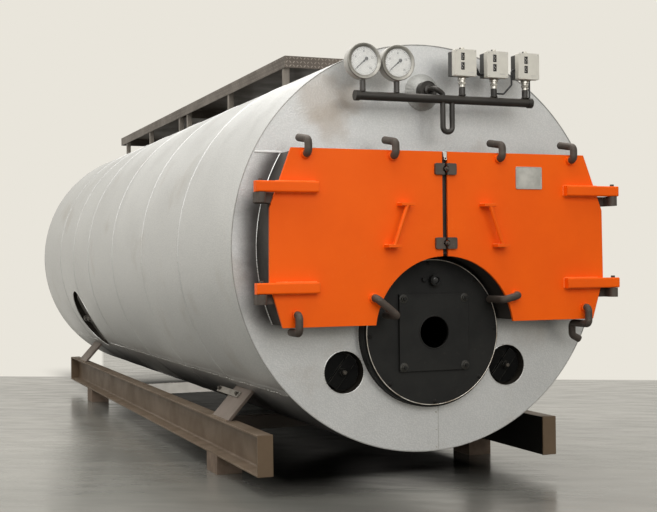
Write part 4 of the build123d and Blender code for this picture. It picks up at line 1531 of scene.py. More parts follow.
@dataclass(frozen=True)
class GaugeLine(Assembly):
    """Dials, switch windows, unions and the nozzle's rosette on the instrument header."""

    scale_start: float = 225.0
    scale_sweep: float = 270.0
    needle_angle: float = 222.0
    bezel_width: float = 0.0175
    nozzle_radius: float = 0.045
    rosette_ribs: int = 28
    drawn_radius: float = 0.084
    number_size: float = 0.0145
    switch_drop: float = 0.078
    stem_depth: float = 0.042
    dial_numbers: tuple[str, ...] = ("0", "4", "8", "12", "16")

    def build(self) -> None:
        """Makes the gauge line's pieces and dresses its nodes."""
        self.shop.dress("pipe_steel", "gauge_header")
        self.shop.dress("lead_sheath", "switch_leads")
        for side in ("left", "right"):
            self._dial(side)
        for number in (1, 2, 3):
            self._switch(number)
        self._rosette()

    def _dial(self, side: str) -> None:
        """One dial: bezel, white face, printed scale, needle and glass.

        Args:
            side: The dial, left or right.
        """
        node = f"pressure_gauge_{side}"
        self.shop.dress("gauge_case", node)
        low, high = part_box(node)
        radius = (high.x - low.x) / 2
        centre = np.array(((low.x + high.x) / 2, low.y, high.z - radius))
        inner = radius - self.bezel_width
        bezel = turned([(radius + 0.001, 0.0), (radius + 0.001, 0.006), (radius - 0.001, 0.0085),
                        (radius - 0.006, 0.0085), (inner + 0.001, 0.0045), (inner, 0.0)], 72, loop=True)
        self.shop.piece(f"{node}_bezel", bezel.placed(centre + (0, 0.005, 0)), "bezel_steel", Slot.STAINLESS)
        dial = turned([(radius - 0.0078, 0.0), (radius - 0.0078, 0.0016)], 64)
        self.shop.piece(f"{node}_face", dial.placed(centre + (0, 0.0078, 0)), "dial_white", Slot.STAINLESS)
        face = centre + (0, 0.0061, 0)
        self.shop.piece(f"{node}_scale", joined([self._ticks(radius, face), self._numbers(radius, face)]),
                        "dial_ink", Slot.DARK_STEEL)
        self.shop.piece(f"{node}_needle", self._needle(radius, face + (0, -0.0012, 0)), "dial_ink", Slot.DARK_STEEL)
        pane = turned([(inner - 0.0004, 0.0), (inner - 0.0004, 0.001), (0.7 * radius, 0.0018),
                       (0.35 * radius, 0.0022)], 64)
        self.shop.piece(f"{node}_glass", pane.placed(centre + (0, -0.0012, 0)), "clear_glass", Slot.STAINLESS)

    def _ticks(self, radius: float, face: Array) -> Surface:
        """Scale marks: thin bars at even angles, longer at every fifth.

        Args:
            radius: The dial's radius.
            face: The middle of its printed face.

        Returns:
            Its surface.
        """
        marks = []
        for count, length, width, reach in ((41, 0.005, 0.0007, 0.0625), (9, 0.009, 0.0013, 0.0605)):
            turn = np.radians(self.scale_start - self.scale_sweep * np.linspace(0, 1, count))
            bar = pressed(rounded_box(length, width, width * 0.3, 1), [(0.0, 0.0), (0.0, 0.0004)])
            across = facing(turn)
            marks.append(bar.spread(face + reach * radius / self.drawn_radius * across, across))
        return joined(marks)

    def _numbers(self, radius: float, face: Array) -> Surface:
        """Plain numbers along the scale, as thin flat meshes.

        Args:
            radius: The dial's radius.
            face: The middle of its printed face.

        Returns:
            Its surface.
        """
        shapes = []
        turns = np.radians(self.scale_start - self.scale_sweep * np.linspace(0, 1, len(self.dial_numbers)))
        for text, turn in zip(self.dial_numbers, turns):
            curve = bpy.data.curves.new("dial_number", "FONT")
            curve.body = text
            curve.size = self.number_size
            curve.align_x = "CENTER"
            curve.align_y = "CENTER"
            curve.extrude = 0.0002
            holder = bpy.data.objects.new("dial_number", curve)
            mesh = bpy.data.meshes.new_from_object(holder)
            points = np.zeros(len(mesh.vertices) * 3)
            mesh.vertices.foreach_get("co", points)
            caps = [list(face_item.vertices) for face_item in mesh.polygons]
            shape = Surface(points.reshape(-1, 3), np.zeros((0, 4), int), caps)
            place = face + 0.54 * radius * facing(turn)
            shapes.append(shape.placed(place))
            bpy.data.objects.remove(holder)
            bpy.data.meshes.remove(mesh)
            bpy.data.curves.remove(curve)
        return joined(shapes)

    def _needle(self, radius: float, face: Array) -> Surface:
        """A tapered pointer with a small hub and a round counterweight on its tail.

        Args:
            radius: The dial's radius.
            face: The middle of its printed face.

        Returns:
            Its surface.
        """
        tip, tail, weight = 0.71 * radius, -0.27 * radius, -0.2 * radius
        outline = np.array(((tail, -0.0024), (0.0, -0.003), (tip, -0.001), (tip, 0.001), (0.0, 0.003),
                            (tail, 0.0024)))
        pointer = pressed(outline, [(0.0, 0.0), (0.0, 0.0009)])
        turn = math.radians(self.needle_angle)
        across = facing(turn)
        hub = turned([(0.0045, 0.0), (0.0045, 0.0018), (0.0035, 0.0024)], 24)
        disc = turned([(0.0088, 0.0), (0.0088, 0.0011), (0.008, 0.0015)], 28)
        return joined([pointer.placed(face, across), hub.placed(face),
                       disc.placed(face + weight * across)])

    def _switch(self, number: int) -> None:
        """One switch box: dark windows, cover screws, and the bright union and stub under it.

        Args:
            number: The switch, 1 to 3 from the left.
        """
        node = f"pressure_switch_{number}"
        self.shop.dress("switch_cover", node)
        low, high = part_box(node)
        x = (low.x + high.x) / 2
        middle = high.z - self.switch_drop
        panes, frames = [], []
        for height in (0.029, -0.017):
            place = np.array((x - 0.016, low.y + 0.0036, middle + height))
            outline = rounded_box(0.0194, 0.0354, 0.002)
            panes.append(pressed(outline, [(0.0, 0.0), (0.0, 0.002), (0.001, 0.0024)]).placed(place))
            spots = ((-0.003, 0.008), (0.003, 0.001), (-0.002, -0.009))
            marks = np.array([place + (dx, -0.0028, dz) for dx, dz in spots])
            pointer = pressed(rounded_box(0.006, 0.005, 0.001, 1), [(0.0, 0.0), (0.0, 0.0006)])
            frames.append(pointer.spread(marks))
        self.shop.piece(f"{node}_windows", joined(panes), "dark_window", Slot.DARK_STEEL)
        self.shop.piece(f"{node}_pointers", joined(frames), "pointer_grey", Slot.SWITCH)
        corners = np.array([(x + dx, low.y + 0.0002, middle + dz) for dx in (-0.05, 0.05) for dz in (-0.056, 0.056)])
        screw = rivet(0.0038, 0.0018).spread(corners)
        tag = pressed(rounded_box(0.03, 0.0035, 0.001, 1), [(0.0, 0.0), (0.0, 0.0008)])
        tag = tag.placed((x + 0.026, low.y + 0.0002, middle - 0.046))
        self.shop.piece(f"{node}_screws", joined([screw, tag]), "bright_zinc", Slot.STAINLESS)
        stem_y = low.y + self.stem_depth
        union = joined([
            self._upright(turned([(0.0212, 0.0), (0.0212, 0.017), (0.0205, 0.019)], 32),
                          (x, stem_y, middle - 0.0795)),
            self._upright(turned([(0.0155, 0.0), (0.0155, 0.016)], 28), (x, stem_y, middle - 0.093)),
            self._upright(hex_nut(0.0205, 0.012), (x, stem_y, middle - 0.101)),
            self._upright(turned([(0.0145, 0.0), (0.0145, 0.014)], 28), (x, stem_y, middle - 0.113))])
        self.shop.piece(f"{node}_union", union, "chrome_union", Slot.STAINLESS)
        stub = joined([
            self._upright(turned([(0.0152, 0.0), (0.0152, 0.038), (0.0142, 0.041)], 28), (x, stem_y, low.z + 0.0005)),
            self._upright(hoop(0.0155, 0.0028, 0.0028, 28), (x, stem_y, low.z + 0.003))])
        self.shop.piece(f"{node}_stub", stub, "pipe_steel", Slot.DARK_STEEL)

    @staticmethod
    def _upright(surface: Surface, place: Place) -> Surface:
        """Sets a surface on a place with its local z upwards."""
        return surface.placed(place, FRONT_ACROSS, UP)

    def _rosette(self) -> None:
        """The ribbed sheet cone round the nozzle, and the nozzle's end ring."""
        centre = np.array((-0.015, self.casing.front_y, self.casing.axis_z + 0.765))
        inner = self.nozzle_radius + 0.0012
        profile = np.array(((0.09, -0.0005), (0.0915, 0.002), (0.0895, 0.0045), (0.082, 0.006), (0.068, 0.015),
                            (0.055, 0.027), (inner + 0.002, 0.033), (inner, 0.0335), (inner, 0.031), (0.06, 0.012),
                            (0.078, 0.0015)))
        turn = np.linspace(0, TAU, 168, endpoint=False)
        depth = np.array((0.0, 0.0004, 0.0006, 0.0007, 0.0004, 0.0002, 0, 0, 0, 0, 0))
        radius = profile[:, :1] + 0.3 * depth[:, None] * np.cos(self.rosette_ribs * turn)
        height = profile[:, 1:] + 0.7 * depth[:, None] * np.cos(self.rosette_ribs * turn)
        collar = grid(np.stack((radius * np.cos(turn), radius * np.sin(turn), height), axis=-1), wrap_rows=True,
                      wrap_columns=True)
        self.shop.piece("nozzle_rosette", collar.placed(centre), "rosette_sheet", Slot.CLADDING)
        cap = joined([hoop(0.0445, 0.0025, 0.003, 48), turned([(0.024, -0.004), (0.024, 0.012), (0.02, 0.014)], 24)])
        self.shop.piece("nozzle_end_ring", cap.placed(centre + (0, -0.0745, 0)), "pipe_steel", Slot.DARK_STEEL)


@dataclass(frozen=True)
class Walkway(Assembly):
    """Raised tread lugs on the walkway's trays and rims."""

    pitch: float = 0.0225
    lug_length: float = 0.0215
    lug_width: float = 0.0072
    lug_height: float = 0.0018

    def _lug(self) -> Surface:
        """One lug: a lens whose width and height fall to nothing at its ends.

        Returns:
            Its surface.
        """
        u, v = np.meshgrid(np.linspace(-1, 1, 5), np.linspace(-1, 1, 4), indexing="ij")
        taper = 1 - u ** 2
        points = np.stack((u * self.lug_length / 2, v * taper * self.lug_width / 2,
                           self.lug_height * taper * (1 - v ** 2) - 0.0002), axis=-1)
        return grid(points)

    def _field(self, origin: Array, along: Array, across: Array, out: Array, length: float,
               width: float) -> Surface:
        """Lugs over a rectangle, turned by turns to either side.

        Args:
            origin: One corner of the rectangle.
            along: Its long direction.
            across: Its short direction.
            out: The way that it faces.
            length: Its size along.
            width: Its size across.

        Returns:
            All the lugs.
        """
        columns = max(1, int(length / self.pitch))
        rows = max(1, int(width / self.pitch))
        i, j = np.meshgrid(np.arange(columns), np.arange(rows), indexing="ij")
        i, j = i.ravel(), j.ravel()
        places = (origin + (i + 0.5)[:, None] * along * length / columns
                  + (j + 0.5)[:, None] * across * width / rows)
        sign = np.where((i + j) % 2, 1.0, -1.0)[:, None]
        lean = (along + sign * across) / math.sqrt(2)
        return self._lug().spread(places, lean, out)

    def build(self) -> None:
        """Makes the tread and dresses the walkway's nodes."""
        self.shop.dress("chequer_steel", "walkway_deck")
        self.shop.dress("post_paint", "walkway_posts")
        low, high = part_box("walkway_deck")
        along, across = ALONG, FRONT_ACROSS
        length, width, tall = high.y - low.y, high.x - low.x, high.z - low.z
        top = self._field(np.array((low.x, low.y, high.z)), along, across, UP, length, width)
        self.shop.piece("walkway_tread", top, "tread_worn", Slot.CHEQUER)
        left = self._field(np.array((low.x, low.y, low.z)), along, UP, -across, length, tall)
        right = self._field(np.array((high.x, low.y, low.z)), along, UP, across, length, tall)
        front = self._field(np.array((low.x, low.y, low.z)), across, UP, -along, width, tall)
        rear = self._field(np.array((low.x, high.y, low.z)), across, UP, along, width, tall)
        self.shop.piece("walkway_rim_tread", joined([left, right, front, rear]), "tread_worn", Slot.CHEQUER)


@dataclass(frozen=True)
class BaseFrame(Assembly):
    """Weld seams and bolts on the base channels, legs and strap."""

    weld_radius: float = 0.0065
    bolt_radius: float = 0.0105
    plate_thickness: float = 0.01
    bolt_inset: float = 0.03
    leg_weld_length: float = 0.29
    leg_weld_shift: float = 0.0115
    plate_weld_radius: float = 0.0035

    def build(self) -> None:
        """Makes the base's pieces and dresses its nodes."""
        self.shop.dress("primer_brown", "base_channel_left")
        # The right channel's side that faces the middle gets painted shade.
        self.shop.dress("primer_with_painted_shade", "base_channel_right")
        self.shop.dress("leg_primer", "saddle_legs")
        self.shop.dress("tie_paint", "base_cross_ties")
        self.shop.dress("primer_light", "base_end_plates")
        self.shop.dress("block_brown", "foot_blocks")
        self.shop.dress("bright_strap", "saddle_strap")
        self.shop.piece("base_welds", self._welds(), "primer_brown", Slot.PRIMER)
        self.shop.piece("strap_bolts", self._strap_bolts(), "worn_steel", Slot.DARK_STEEL)

    def _welds(self) -> Surface:
        """Seams at the legs' feet and round the channels' end plates.

        Returns:
            Their surface.
        """
        seams = []
        low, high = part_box("base_channel_left")
        leg_low, leg_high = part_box("saddle_legs")
        foot_x = leg_high.x - self.casing.leg_half_thickness
        length = self.leg_weld_length
        for y_start, y_end in ((leg_low.y, leg_low.y + length), (leg_high.y - length, leg_high.y)):
            for side in (-1, 1):
                for shift in (-self.leg_weld_shift, self.leg_weld_shift):
                    x = side * (foot_x + shift)
                    seams.append(weld_bead((x, y_start, high.z), (x, y_end, high.z), UP, self.weld_radius))
        plate_low, plate_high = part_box("base_end_plates")
        for y in (plate_low.y + self.plate_thickness, plate_high.y - self.plate_thickness):
            for side in (-1, 1):
                for z in (low.z + 0.001, high.z - 0.001):
                    seams.append(weld_bead((side * abs(high.x), y, z), (side * plate_high.x, y, z), UP,
                                           self.plate_weld_radius))
        return joined(seams)

    def _strap_bolts(self) -> Surface:
        """Two bolts through the strap into the leg behind it.

        Returns:
            Their surface.
        """
        low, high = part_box("saddle_strap")
        angle = self.casing.leg_angles()[0]
        radial = self.casing.outward(angle)
        out = np.cross(radial, ALONG)
        out = out if out[2] > 0 else -out
        middle = np.array(((low.x + high.x) / 2, 0.0, (low.z + high.z) / 2)) + 0.005 * out
        places = np.array([middle + (0, y, 0) for y in (low.y + self.bolt_inset, high.y - self.bolt_inset)])
        return fastener(self.bolt_radius, 0.01).spread(places, ALONG, out)


@dataclass(frozen=True)
class Openings(Assembly):
    """The manhole's nuts and rim, and the flue flange's nuts and sheet rim."""

    flue_bolts: int = 12
    flue_bolt_circle: float = 0.2525
    manhole_radius: float = 0.264
    manhole_nut_reach: float = 0.175
    manhole_bar_radius: float = 0.9854
    flue_rim_radius: float = 0.2335
    flue_flange_thickness: float = 0.012

    def build(self) -> None:
        """Makes the pieces round the side and rear openings."""
        self.shop.dress("primer_brown", "flue_outlet")
        low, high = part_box("flue_outlet")
        centre = np.array((0.0, high.y, (low.z + high.z) / 2))
        turn = np.arange(self.flue_bolts) * TAU / self.flue_bolts
        places = centre + self.flue_bolt_circle * facing(turn)
        nuts = joined([washer(0.017, 0.002), hex_nut(0.0135, 0.008)])
        front = nuts.spread(places - (0, self.flue_flange_thickness, 0), REAR_ACROSS, FRONT_OUT)
        self.shop.piece("flue_flange_nuts", front, "bright_zinc", Slot.STAINLESS)
        rim = hoop(self.flue_rim_radius, 0.0028, 0.003, 96)
        rim = rim.placed((0, self.casing.rear_y + 0.0015, centre[2]), REAR_ACROSS, ALONG)
        self.shop.piece("flue_sheet_rim", rim, "bright_edge", Slot.CLADDING)
        self._manhole()

    def _manhole(self) -> None:
        """Three nuts along the manhole's bar and the rolled edge of its opening in the sheet."""
        low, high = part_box("manhole")
        y = (low.y + high.y) / 2
        radial = self.casing.outward(self.casing.manhole_angle)
        top = self.casing.at(self.casing.manhole_angle, y, self.manhole_bar_radius)
        reach = self.manhole_nut_reach * np.array((-1.0, 0.0, 1.0))[:, None]
        nut = joined([washer(0.026, 0.003), hex_nut(0.019, 0.012)])
        self.shop.piece("manhole_nuts", nut.spread(top + reach * ALONG, ALONG, radial), "worn_steel", Slot.DARK_STEEL)
        turn = np.linspace(0, TAU, 96, endpoint=False)
        hole = self.manhole_radius + 0.0005
        side = np.cross(radial, ALONG)
        lateral = hole * np.cos(turn)
        depth = np.sqrt(self.casing.radius ** 2 - lateral ** 2)
        path = (np.array((0.0, y, self.casing.axis_z)) + depth[:, None] * radial + lateral[:, None] * side
                + (hole * np.sin(turn))[:, None] * ALONG)
        edge = carried(ring_section(0.0035, 0.003, 8), path, radial, loop=True)
        self.shop.piece("manhole_sheet_rim", edge, "bright_edge", Slot.CLADDING)


@dataclass(frozen=True)
class Lamp:
    """One soft lamp: where it hangs, the point that it faces, its width and height, and its power in watts."""

    name: str
    place: Place
    aim: Place
    size: Pair
    power: float

    def hang(self) -> None:
        """Puts the lamp into the scene, out of the camera's sight."""
        lamp = bpy.data.lights.new(self.name, "AREA")
        lamp.shape = "RECTANGLE"
        lamp.size, lamp.size_y = self.size
        lamp.energy = self.power
        holder = bpy.data.objects.new(self.name, lamp)
        holder.visible_camera = False
        holder.location = self.place
        holder.rotation_euler = (Vector(self.aim) - Vector(self.place)).to_track_quat("-Z", "Y").to_euler()
        bpy.context.scene.collection.objects.link(holder)


@dataclass(frozen=True)
class Stage:
    """The floor, the light and the camera."""

    backdrop: Colour = (233, 229, 219)
    floor: Colour = (130, 128, 121)
    floor_shade: Colour = (112, 111, 105)
    floor_dark: Colour = (16, 16, 14)
    floor_reach: float = 60.0
    floor_gloss: Pair = (0.5, 0.0005)
    wall_turn: float = 0.1684
    wall_depth: float = 3.083
    wall_blend: float = 0.05
    lane_slopes: Pair = (0.1865, 0.6188)
    lane_blend: float = 0.003
    shadow_front: Pair = (0.1, 0.9)
    shadow_rear: Pair = (-0.4, 2.2)
    shadow_side: Pair = (0.515, 0.87)
    world_light: tuple[float, float, float, float] = (1.0, 0.985, 0.96, 1.0)
    world_strength: float = 0.4
    camera_place: Place = (-2.5752, -8.1536, 1.1192)
    camera_yaw: float = -0.3762
    camera_pitch: float = 0.0070
    camera_roll: float = -0.0106
    camera_lens: float = 64.46
    lamps: tuple[Lamp, ...] = (
        Lamp("top_light", (-0.6, -0.7, 6.8), (0.0, 0.2, 0.0), (7.0, 10.0), 560.0),
        Lamp("front_light", (-1.5, -11.0, 5.0), (0.2, -2.5, 1.3), (10.0, 5.0), 418.0),
        Lamp("left_light", (-8.0, -2.0, 4.5), (0.0, 0.5, 1.0), (6.0, 5.0), 155.0),
        Lamp("low_light", (0.0, 0.5, 0.14), (0.0, 1.06, 0.145), (1.1, 0.04), 2.2))

    def build(self) -> None:
        """Sets up the floor, the lamps, the world and the camera."""
        self._floor()
        self._world()
        for lamp in self.lamps:
            lamp.hang()
        self._camera()

    @staticmethod
    def _seen(shading: Shading) -> Socket:
        """Marks rays from the camera and those that metal and glass send on.

        Args:
            shading: The material's or the world's shading helper.

        Returns:
            A mask of 1 for those rays.
        """
        path = shading.node("LightPath")
        either = shading.math("MAXIMUM", path.outputs["Is Camera Ray"], path.outputs["Is Glossy Ray"])
        return shading.math("MAXIMUM", either, path.outputs["Is Transmission Ray"])

    def _floor(self) -> None:
        """A wide polished floor; past a line behind the boiler it has the backdrop's own colour."""
        reach = np.linspace(-self.floor_reach, self.floor_reach, 25)
        x, y = np.meshgrid(reach, reach, indexing="ij")
        surface = grid(np.stack((x, y, np.zeros_like(x)), axis=-1))
        mesh = bpy.data.meshes.new("floor")
        mesh.from_pydata(surface.points.tolist(), [], surface.quads[:, ::-1].tolist())
        floor = bpy.data.objects.new("floor", mesh)
        bpy.context.scene.collection.objects.link(floor)
        made, shading, shader = open_material("floor_grey")
        place = shading.node("TexCoord").outputs["Object"]
        level = shading.node("Mapping")
        shading.feed(level.inputs["Vector"], place)
        level.inputs["Rotation"].default_value = (0.0, 0.0, self.wall_turn - self.camera_yaw)
        depth = shading.parts(level.outputs["Vector"])[1]
        far = shading.span(depth, self.wall_depth - self.wall_blend, self.wall_depth + self.wall_blend)
        streaks = shading.node("Mapping")
        shading.feed(streaks.inputs["Vector"], level.outputs["Vector"])
        streaks.inputs["Scale"].default_value = (0.45, 1.5, 1.0)
        clouds = shading.span(shading.noise(streaks.outputs["Vector"], 1.3, 7.0), 0.3, 0.7)
        fine = shading.noise(streaks.outputs["Vector"], 7.0, 5.0)
        # Painted shadow under and just behind the boiler: it darkens the floor's colour, its gloss and its backdrop
        # glow.
        shadow = self._shadow(shading, place)
        colour = shading.blend(clouds, self.floor, self.floor_shade)
        shading.feed(shader.inputs["Base Color"], shading.blend(shadow, colour, self.floor_dark))
        shading.feed(shader.inputs["Roughness"], shading.span(fine, 0.3, 0.7, 0.15, 0.25))
        shading.feed(shader.inputs["Specular IOR Level"], shading.span(shadow, 0.0, 1.0, *self.floor_gloss))
        shading.feed(shader.inputs["Normal"], shading.bump(fine, 0.05, 0.002))
        glow = shading.node("Emission")
        shading.feed(glow.inputs["Color"], shading.blend(shadow, self.backdrop, self.floor_dark))
        mix = shading.node("MixShader")
        pale = shading.math("MULTIPLY", far, self._lane(shading, place))
        shading.feed(mix.inputs[0], shading.math("MULTIPLY", pale, self._seen(shading)))
        shading.feed(mix.inputs[1], shader.outputs[0])
        shading.feed(mix.inputs[2], glow.outputs[0])
        output = next(node for node in made.node_tree.nodes if node.type == "OUTPUT_MATERIAL")
        shading.feed(output.inputs["Surface"], mix.outputs[0])
        floor.data.materials.append(made)

    def _lane(self, shading: Shading, place: Socket) -> Socket:
        """A widening lane of floor behind the boiler: offset over distance from one point stays between limits.

        Args:
            shading: The floor's shading helper.
            place: Object coordinates.

        Returns:
            0 on the lane, 1 beside it.
        """
        x, y, _ = shading.parts(place)
        aside = shading.math("SUBTRACT", x, self.camera_place[0])
        slope = shading.math("DIVIDE", aside, shading.math("SUBTRACT", y, self.camera_place[1]))
        left, right = self.lane_slopes
        inside = shading.math("MULTIPLY", shading.span(slope, left, left + self.lane_blend),
                              shading.span(slope, right - self.lane_blend, right, 1.0, 0.0))
        return shading.math("SUBTRACT", 1.0, inside)

    def _shadow(self, shading: Shading, place: Socket) -> Socket:
        """A soft mask over the floor under the boiler and close behind it.

        Args:
            shading: The floor's shading helper.
            place: Object coordinates.

        Returns:
            1 under the boiler, falling to 0 beside it.
        """
        low, high = CAD_BOX
        x, y, _ = shading.parts(place)
        front = shading.span(y, *(low[1] + step for step in self.shadow_front))
        rear = shading.span(y, *(high[1] + step for step in self.shadow_rear), 1.0, 0.0)
        beside = shading.span(shading.math("ABSOLUTE", x), *self.shadow_side, 1.0, 0.0)
        return shading.math("MULTIPLY", beside, shading.math("MULTIPLY", front, rear))

    def _world(self) -> None:
        """A pale backdrop for what the camera and mirrors see, and a soft even light for the rest."""
        world = bpy.data.worlds.new("studio")
        world.use_nodes = True
        bpy.context.scene.world = world
        world.node_tree.nodes.clear()
        shading = Shading(world.node_tree)
        shown = shading.node("Background")
        shown.inputs["Color"].default_value = linear(self.backdrop)
        light = shading.node("Background")
        light.inputs["Color"].default_value = self.world_light
        light.inputs["Strength"].default_value = self.world_strength
        mix = shading.node("MixShader")
        shading.feed(mix.inputs[0], self._seen(shading))
        shading.feed(mix.inputs[1], light.outputs[0])
        shading.feed(mix.inputs[2], shown.outputs[0])
        output = shading.node("OutputWorld")
        shading.feed(output.inputs["Surface"], mix.outputs[0])

    def _camera(self) -> None:
        """The photograph's viewpoint: yaw about z, then pitch, then roll about the line of sight."""
        yaw, pitch, roll = self.camera_yaw, self.camera_pitch, self.camera_roll
        ahead = Vector((-math.sin(yaw) * math.cos(pitch), math.cos(yaw) * math.cos(pitch), math.sin(pitch)))
        right = Vector((math.cos(yaw), math.sin(yaw), 0.0))
        upward = right.cross(ahead)
        level_right = math.cos(roll) * right + math.sin(roll) * upward
        level_up = -math.sin(roll) * right + math.cos(roll) * upward
        turn = Matrix((level_right, level_up, -ahead)).transposed()
        lens = bpy.data.cameras.new("viewpoint")
        lens.lens = self.camera_lens
        lens.sensor_width = 36.0
        holder = bpy.data.objects.new("viewpoint", lens)
        holder.matrix_world = Matrix.Translation(self.camera_place) @ turn.to_4x4()
        bpy.context.scene.collection.objects.link(holder)
        bpy.context.scene.camera = holder


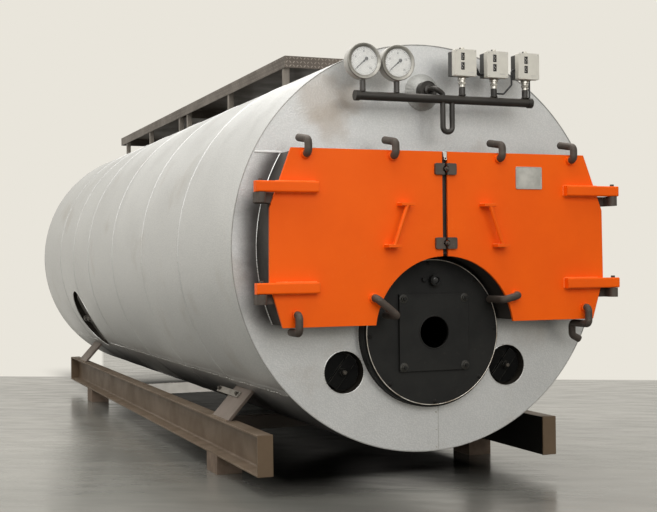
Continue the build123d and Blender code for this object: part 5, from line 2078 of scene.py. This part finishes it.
def finishes(axis_z: float, switch_split: float, gauge_split: float, channel_side: float) -> list[Finish]:
    """Every finish on the boiler.

    Args:
        axis_z: The height of the boiler's axis.
        switch_split: Where the switches' pale covers end, along y.
        gauge_split: Where the gauges' cases begin, along z.
        channel_side: The side of the right base channel that faces the middle, where its painted shade begins.

    Returns:
        The finishes in the order that they are built.
    """
    primer = CoatedFinish("primer_brown", (108, 91, 73), (94, 78, 61), (146, 128, 110), 0.55, cloud_scale=4.0,
                          scuff_scale=55.0, scuff_amount=0.4, edge_radius=0.005, edge_amount=0.7,
                          dust=(142, 128, 112), dust_amount=0.45, specular=0.35)
    return [
        # The casing sheet carries painted shade towards its belly.
        EmbossedFinish("embossed_sheet", (213, 213, 211), (190, 191, 191), painted_belly_shade_levels=(0.34, 0.6)),
        # The front sheet carries painted shadow beside the smoke box.
        EmbossedFinish("front_sheet", (212, 212, 210), (194, 195, 194), (156, 140, 122), smudge_low=0.54,
                       smudge_amount=0.3, metallic=0.48, painted_shadow_axis=axis_z, stains=(
                           (-0.545, axis_z + 0.705, 0.17), (-0.39, axis_z + 0.715, 0.1),
                           (-0.505, axis_z + 0.605, 0.13))),
        # Greyer than the sheet: painted shade for the rolled edge's dark line.
        EmbossedFinish("lip_painted_shade", (172, 171, 167), (154, 153, 149), metallic=0.5, roughness=0.5),
        # Painted shadow along the laps' free edges.
        EmbossedFinish("seam_shadow_grey", (104, 103, 100), (84, 83, 80), metallic=0.4, roughness=0.6),
        EmbossedFinish("seam_faint", (188, 187, 183), (170, 169, 165), metallic=0.5, roughness=0.5),
        # Near white: a painted highlight on the fold that faces up.
        CoatedFinish("sheet_fold_painted_highlight", (240, 239, 235), (226, 225, 221), (248, 247, 244), 0.5, scuff_amount=0.1,
                     edge_radius=0.001, dust_amount=0.0),
        BrushedFinish("bright_edge", (226, 226, 224), (196, 196, 194), 0.3),
        BrushedFinish("bright_zinc", (206, 205, 200), (168, 166, 160), 0.34),
        BrushedFinish("bezel_steel", (150, 148, 142), (116, 114, 108), 0.36),
        BrushedFinish("chrome_union", (200, 197, 190), (140, 136, 128), 0.2),
        BrushedFinish("bare_plate", (198, 197, 192), (160, 160, 156), 0.38),
        BrushedFinish("worn_bright", (232, 229, 222), (150, 136, 120), 0.36),
        EmbossedFinish("rosette_sheet", (172, 172, 168), (156, 156, 152), metallic=0.35, roughness=0.58),
        CoatedFinish("hatch_black", (9, 9, 8), (6, 6, 6), (96, 94, 86), 0.7, cloud_scale=8.0, scuff_amount=0.1,
                     edge_radius=0.005, edge_amount=0.9, dust_amount=0.0, specular=0.12),
        CoatedFinish("stud_grey", (60, 59, 54), (42, 41, 38), (122, 118, 108), 0.5, 0.2, cloud_scale=20.0,
                     edge_radius=0.002, edge_amount=0.8, dust_amount=0.2, specular=0.4),
        CoatedFinish("orange_paint", (250, 99, 1), (243, 93, 0), (250, 146, 74), 0.5, scuff_amount=0.1,
                     edge_radius=0.004, edge_amount=0.5, dust=(240, 128, 56), dust_amount=0.2, grain_depth=0.00015,
                     specular=0.2),
        CoatedFinish("weld_orange", (250, 118, 34), (244, 100, 16), (252, 168, 104), 0.5, cloud_scale=40.0,
                     scuff_amount=0.5, edge_radius=0.001, dust=(252, 160, 96), dust_amount=0.5, specular=0.3),
        CoatedFinish("hook_steel", (84, 75, 67), (64, 56, 50), (122, 111, 100), 0.58, 0.15, cloud_scale=9.0,
                     scuff_amount=0.5, dust=(130, 120, 110), dust_amount=0.35, grain_depth=0.0005, specular=0.35),
        CoatedFinish("burner_black", (25, 25, 23), (19, 19, 18), (58, 54, 48), 0.62, cloud_scale=6.0,
                     scuff_scale=45.0, scuff_amount=0.18, edge_amount=0.35, dust_amount=0.06, specular=0.28),
        CoatedFinish("pipe_steel", (50, 47, 43), (38, 35, 32), (96, 88, 78), 0.42, 0.3, cloud_scale=8.0,
                     scuff_amount=0.4, dust=(104, 97, 88), dust_amount=0.4, grain_depth=0.0004),
        CoatedFinish("worn_steel", (96, 90, 82), (58, 54, 49), (150, 144, 134), 0.42, 0.6, cloud_scale=20.0),
        CoatedFinish("soot_steel", (62, 58, 54), (40, 37, 34), (96, 84, 72), 0.6, 0.2, cloud_scale=5.0,
                     scuff_amount=0.5, dust_amount=0.25),
        CoatedFinish("drum_steel", (70, 64, 58), (46, 42, 38), (112, 92, 74), 0.58, 0.35, cloud_scale=7.0,
                     scuff_amount=0.6, dust_amount=0.2),
        primer,
        # Painted shade on the right channel's inner side.
        replace(primer, name="primer_with_painted_shade", specular=0.2, painted_shade_limit=channel_side + 0.002),
        CoatedFinish("leg_primer", (120, 107, 97), (102, 90, 81), (152, 138, 126), 0.55, cloud_scale=4.0,
                     scuff_scale=55.0, scuff_amount=0.4, edge_radius=0.005, edge_amount=0.7, specular=0.35),
        CoatedFinish("primer_light", (104, 86, 66), (95, 78, 59), (140, 122, 102), 0.55, cloud_scale=6.0,
                     scuff_amount=0.35, edge_amount=0.7, specular=0.35),
        CoatedFinish("block_brown", (116, 98, 82), (96, 80, 66), (142, 124, 108), 0.7, cloud_scale=12.0,
                     scuff_amount=0.6, grain_scale=120.0, grain_depth=0.0008),
        CoatedFinish("chequer_steel", (96, 87, 78), (76, 68, 60), (140, 130, 120), 0.45, 0.35, cloud_scale=3.0,
                     scuff_amount=0.6, edge_radius=0.002, edge_amount=0.6, dust=(126, 116, 106), dust_amount=0.3),
        CoatedFinish("tread_worn", (132, 123, 114), (110, 102, 94), (164, 156, 146), 0.45, 0.35, cloud_scale=12.0,
                     edge_radius=0.0005, dust=(150, 142, 132), dust_amount=0.2),
        CoatedFinish("post_paint", (120, 112, 102), (98, 91, 82), (156, 148, 138), 0.5, cloud_scale=8.0),
        CoatedFinish("bright_strap", (146, 140, 131), (110, 104, 96), (200, 196, 188), 0.48, 0.4, cloud_scale=16.0),
        CoatedFinish("pale_lining", (196, 184, 164), (172, 158, 138), (120, 108, 94), 0.9, cloud_scale=9.0,
                     scuff_scale=30.0, scuff_amount=0.6, grain_scale=90.0, grain_depth=0.002),
        CoatedFinish("mineral_wool", (50, 46, 40), (38, 35, 31), (72, 66, 56), 0.95, cloud_scale=18.0,
                     grain_scale=160.0, grain_depth=0.003, specular=0.1),
        CoatedFinish("lead_sheath", (24, 24, 25), (18, 18, 19), (52, 52, 53), 0.5, cloud_scale=30.0,
                     edge_radius=0.001, grain_depth=0.0001),
        CoatedFinish("dark_window", (26, 26, 27), (18, 18, 19), (60, 60, 60), 0.16, cloud_scale=40.0,
                     scuff_amount=0.1, edge_radius=0.001),
        CoatedFinish("pointer_grey", (150, 146, 136), (130, 126, 118), (180, 176, 168), 0.5, edge_radius=0.0005),
        CoatedFinish("dial_white", (236, 235, 230), (230, 228, 222), (220, 216, 206), 0.5, cloud_scale=24.0,
                     scuff_amount=0.1, edge_radius=0.0005, dust_amount=0.0),
        CoatedFinish("dial_ink", (26, 26, 28), (22, 22, 24), (40, 40, 42), 0.5, scuff_amount=0.0,
                     edge_radius=0.0003, dust_amount=0.0),
        SplitFinish("switch_cover", (214, 210, 198), (46, 45, 43), "Y", switch_split),
        SplitFinish("tie_paint", (74, 63, 53), (206, 200, 188), "Y", 0.0),
        SplitFinish("gauge_case", (52, 48, 44), (188, 185, 178), "Z", gauge_split, 0.35),
        GlassFinish("clear_glass"),
    ]


def main() -> None:
    """Builds the stage, the finishes and every sub-assembly in order."""
    logging.basicConfig(level=logging.INFO, format="%(name)s %(message)s")
    bpy.context.scene.view_settings.view_transform = "Standard"
    casing = Casing.from_frame()
    gauge_low, gauge_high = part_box("pressure_gauge_left")
    gauge_split = gauge_high.z - (gauge_high.x - gauge_low.x) - 0.002
    switch_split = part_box("pressure_switch_1")[0].y + 0.034
    channel_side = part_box("base_channel_right")[0].x
    shop = Workshop(finishes(casing.axis_z, switch_split, gauge_split, channel_side))
    casing.build(shop)
    for kind, *sides in ((BurnerFront,), (SmokeBox,), (SmokeDoor, -1), (SmokeDoor, 1), (GaugeLine,), (Walkway,),
                         (BaseFrame,), (Openings,)):
        kind(shop, casing, *sides).build()
    Stage().build()


if __name__ == "__main__":
    main()
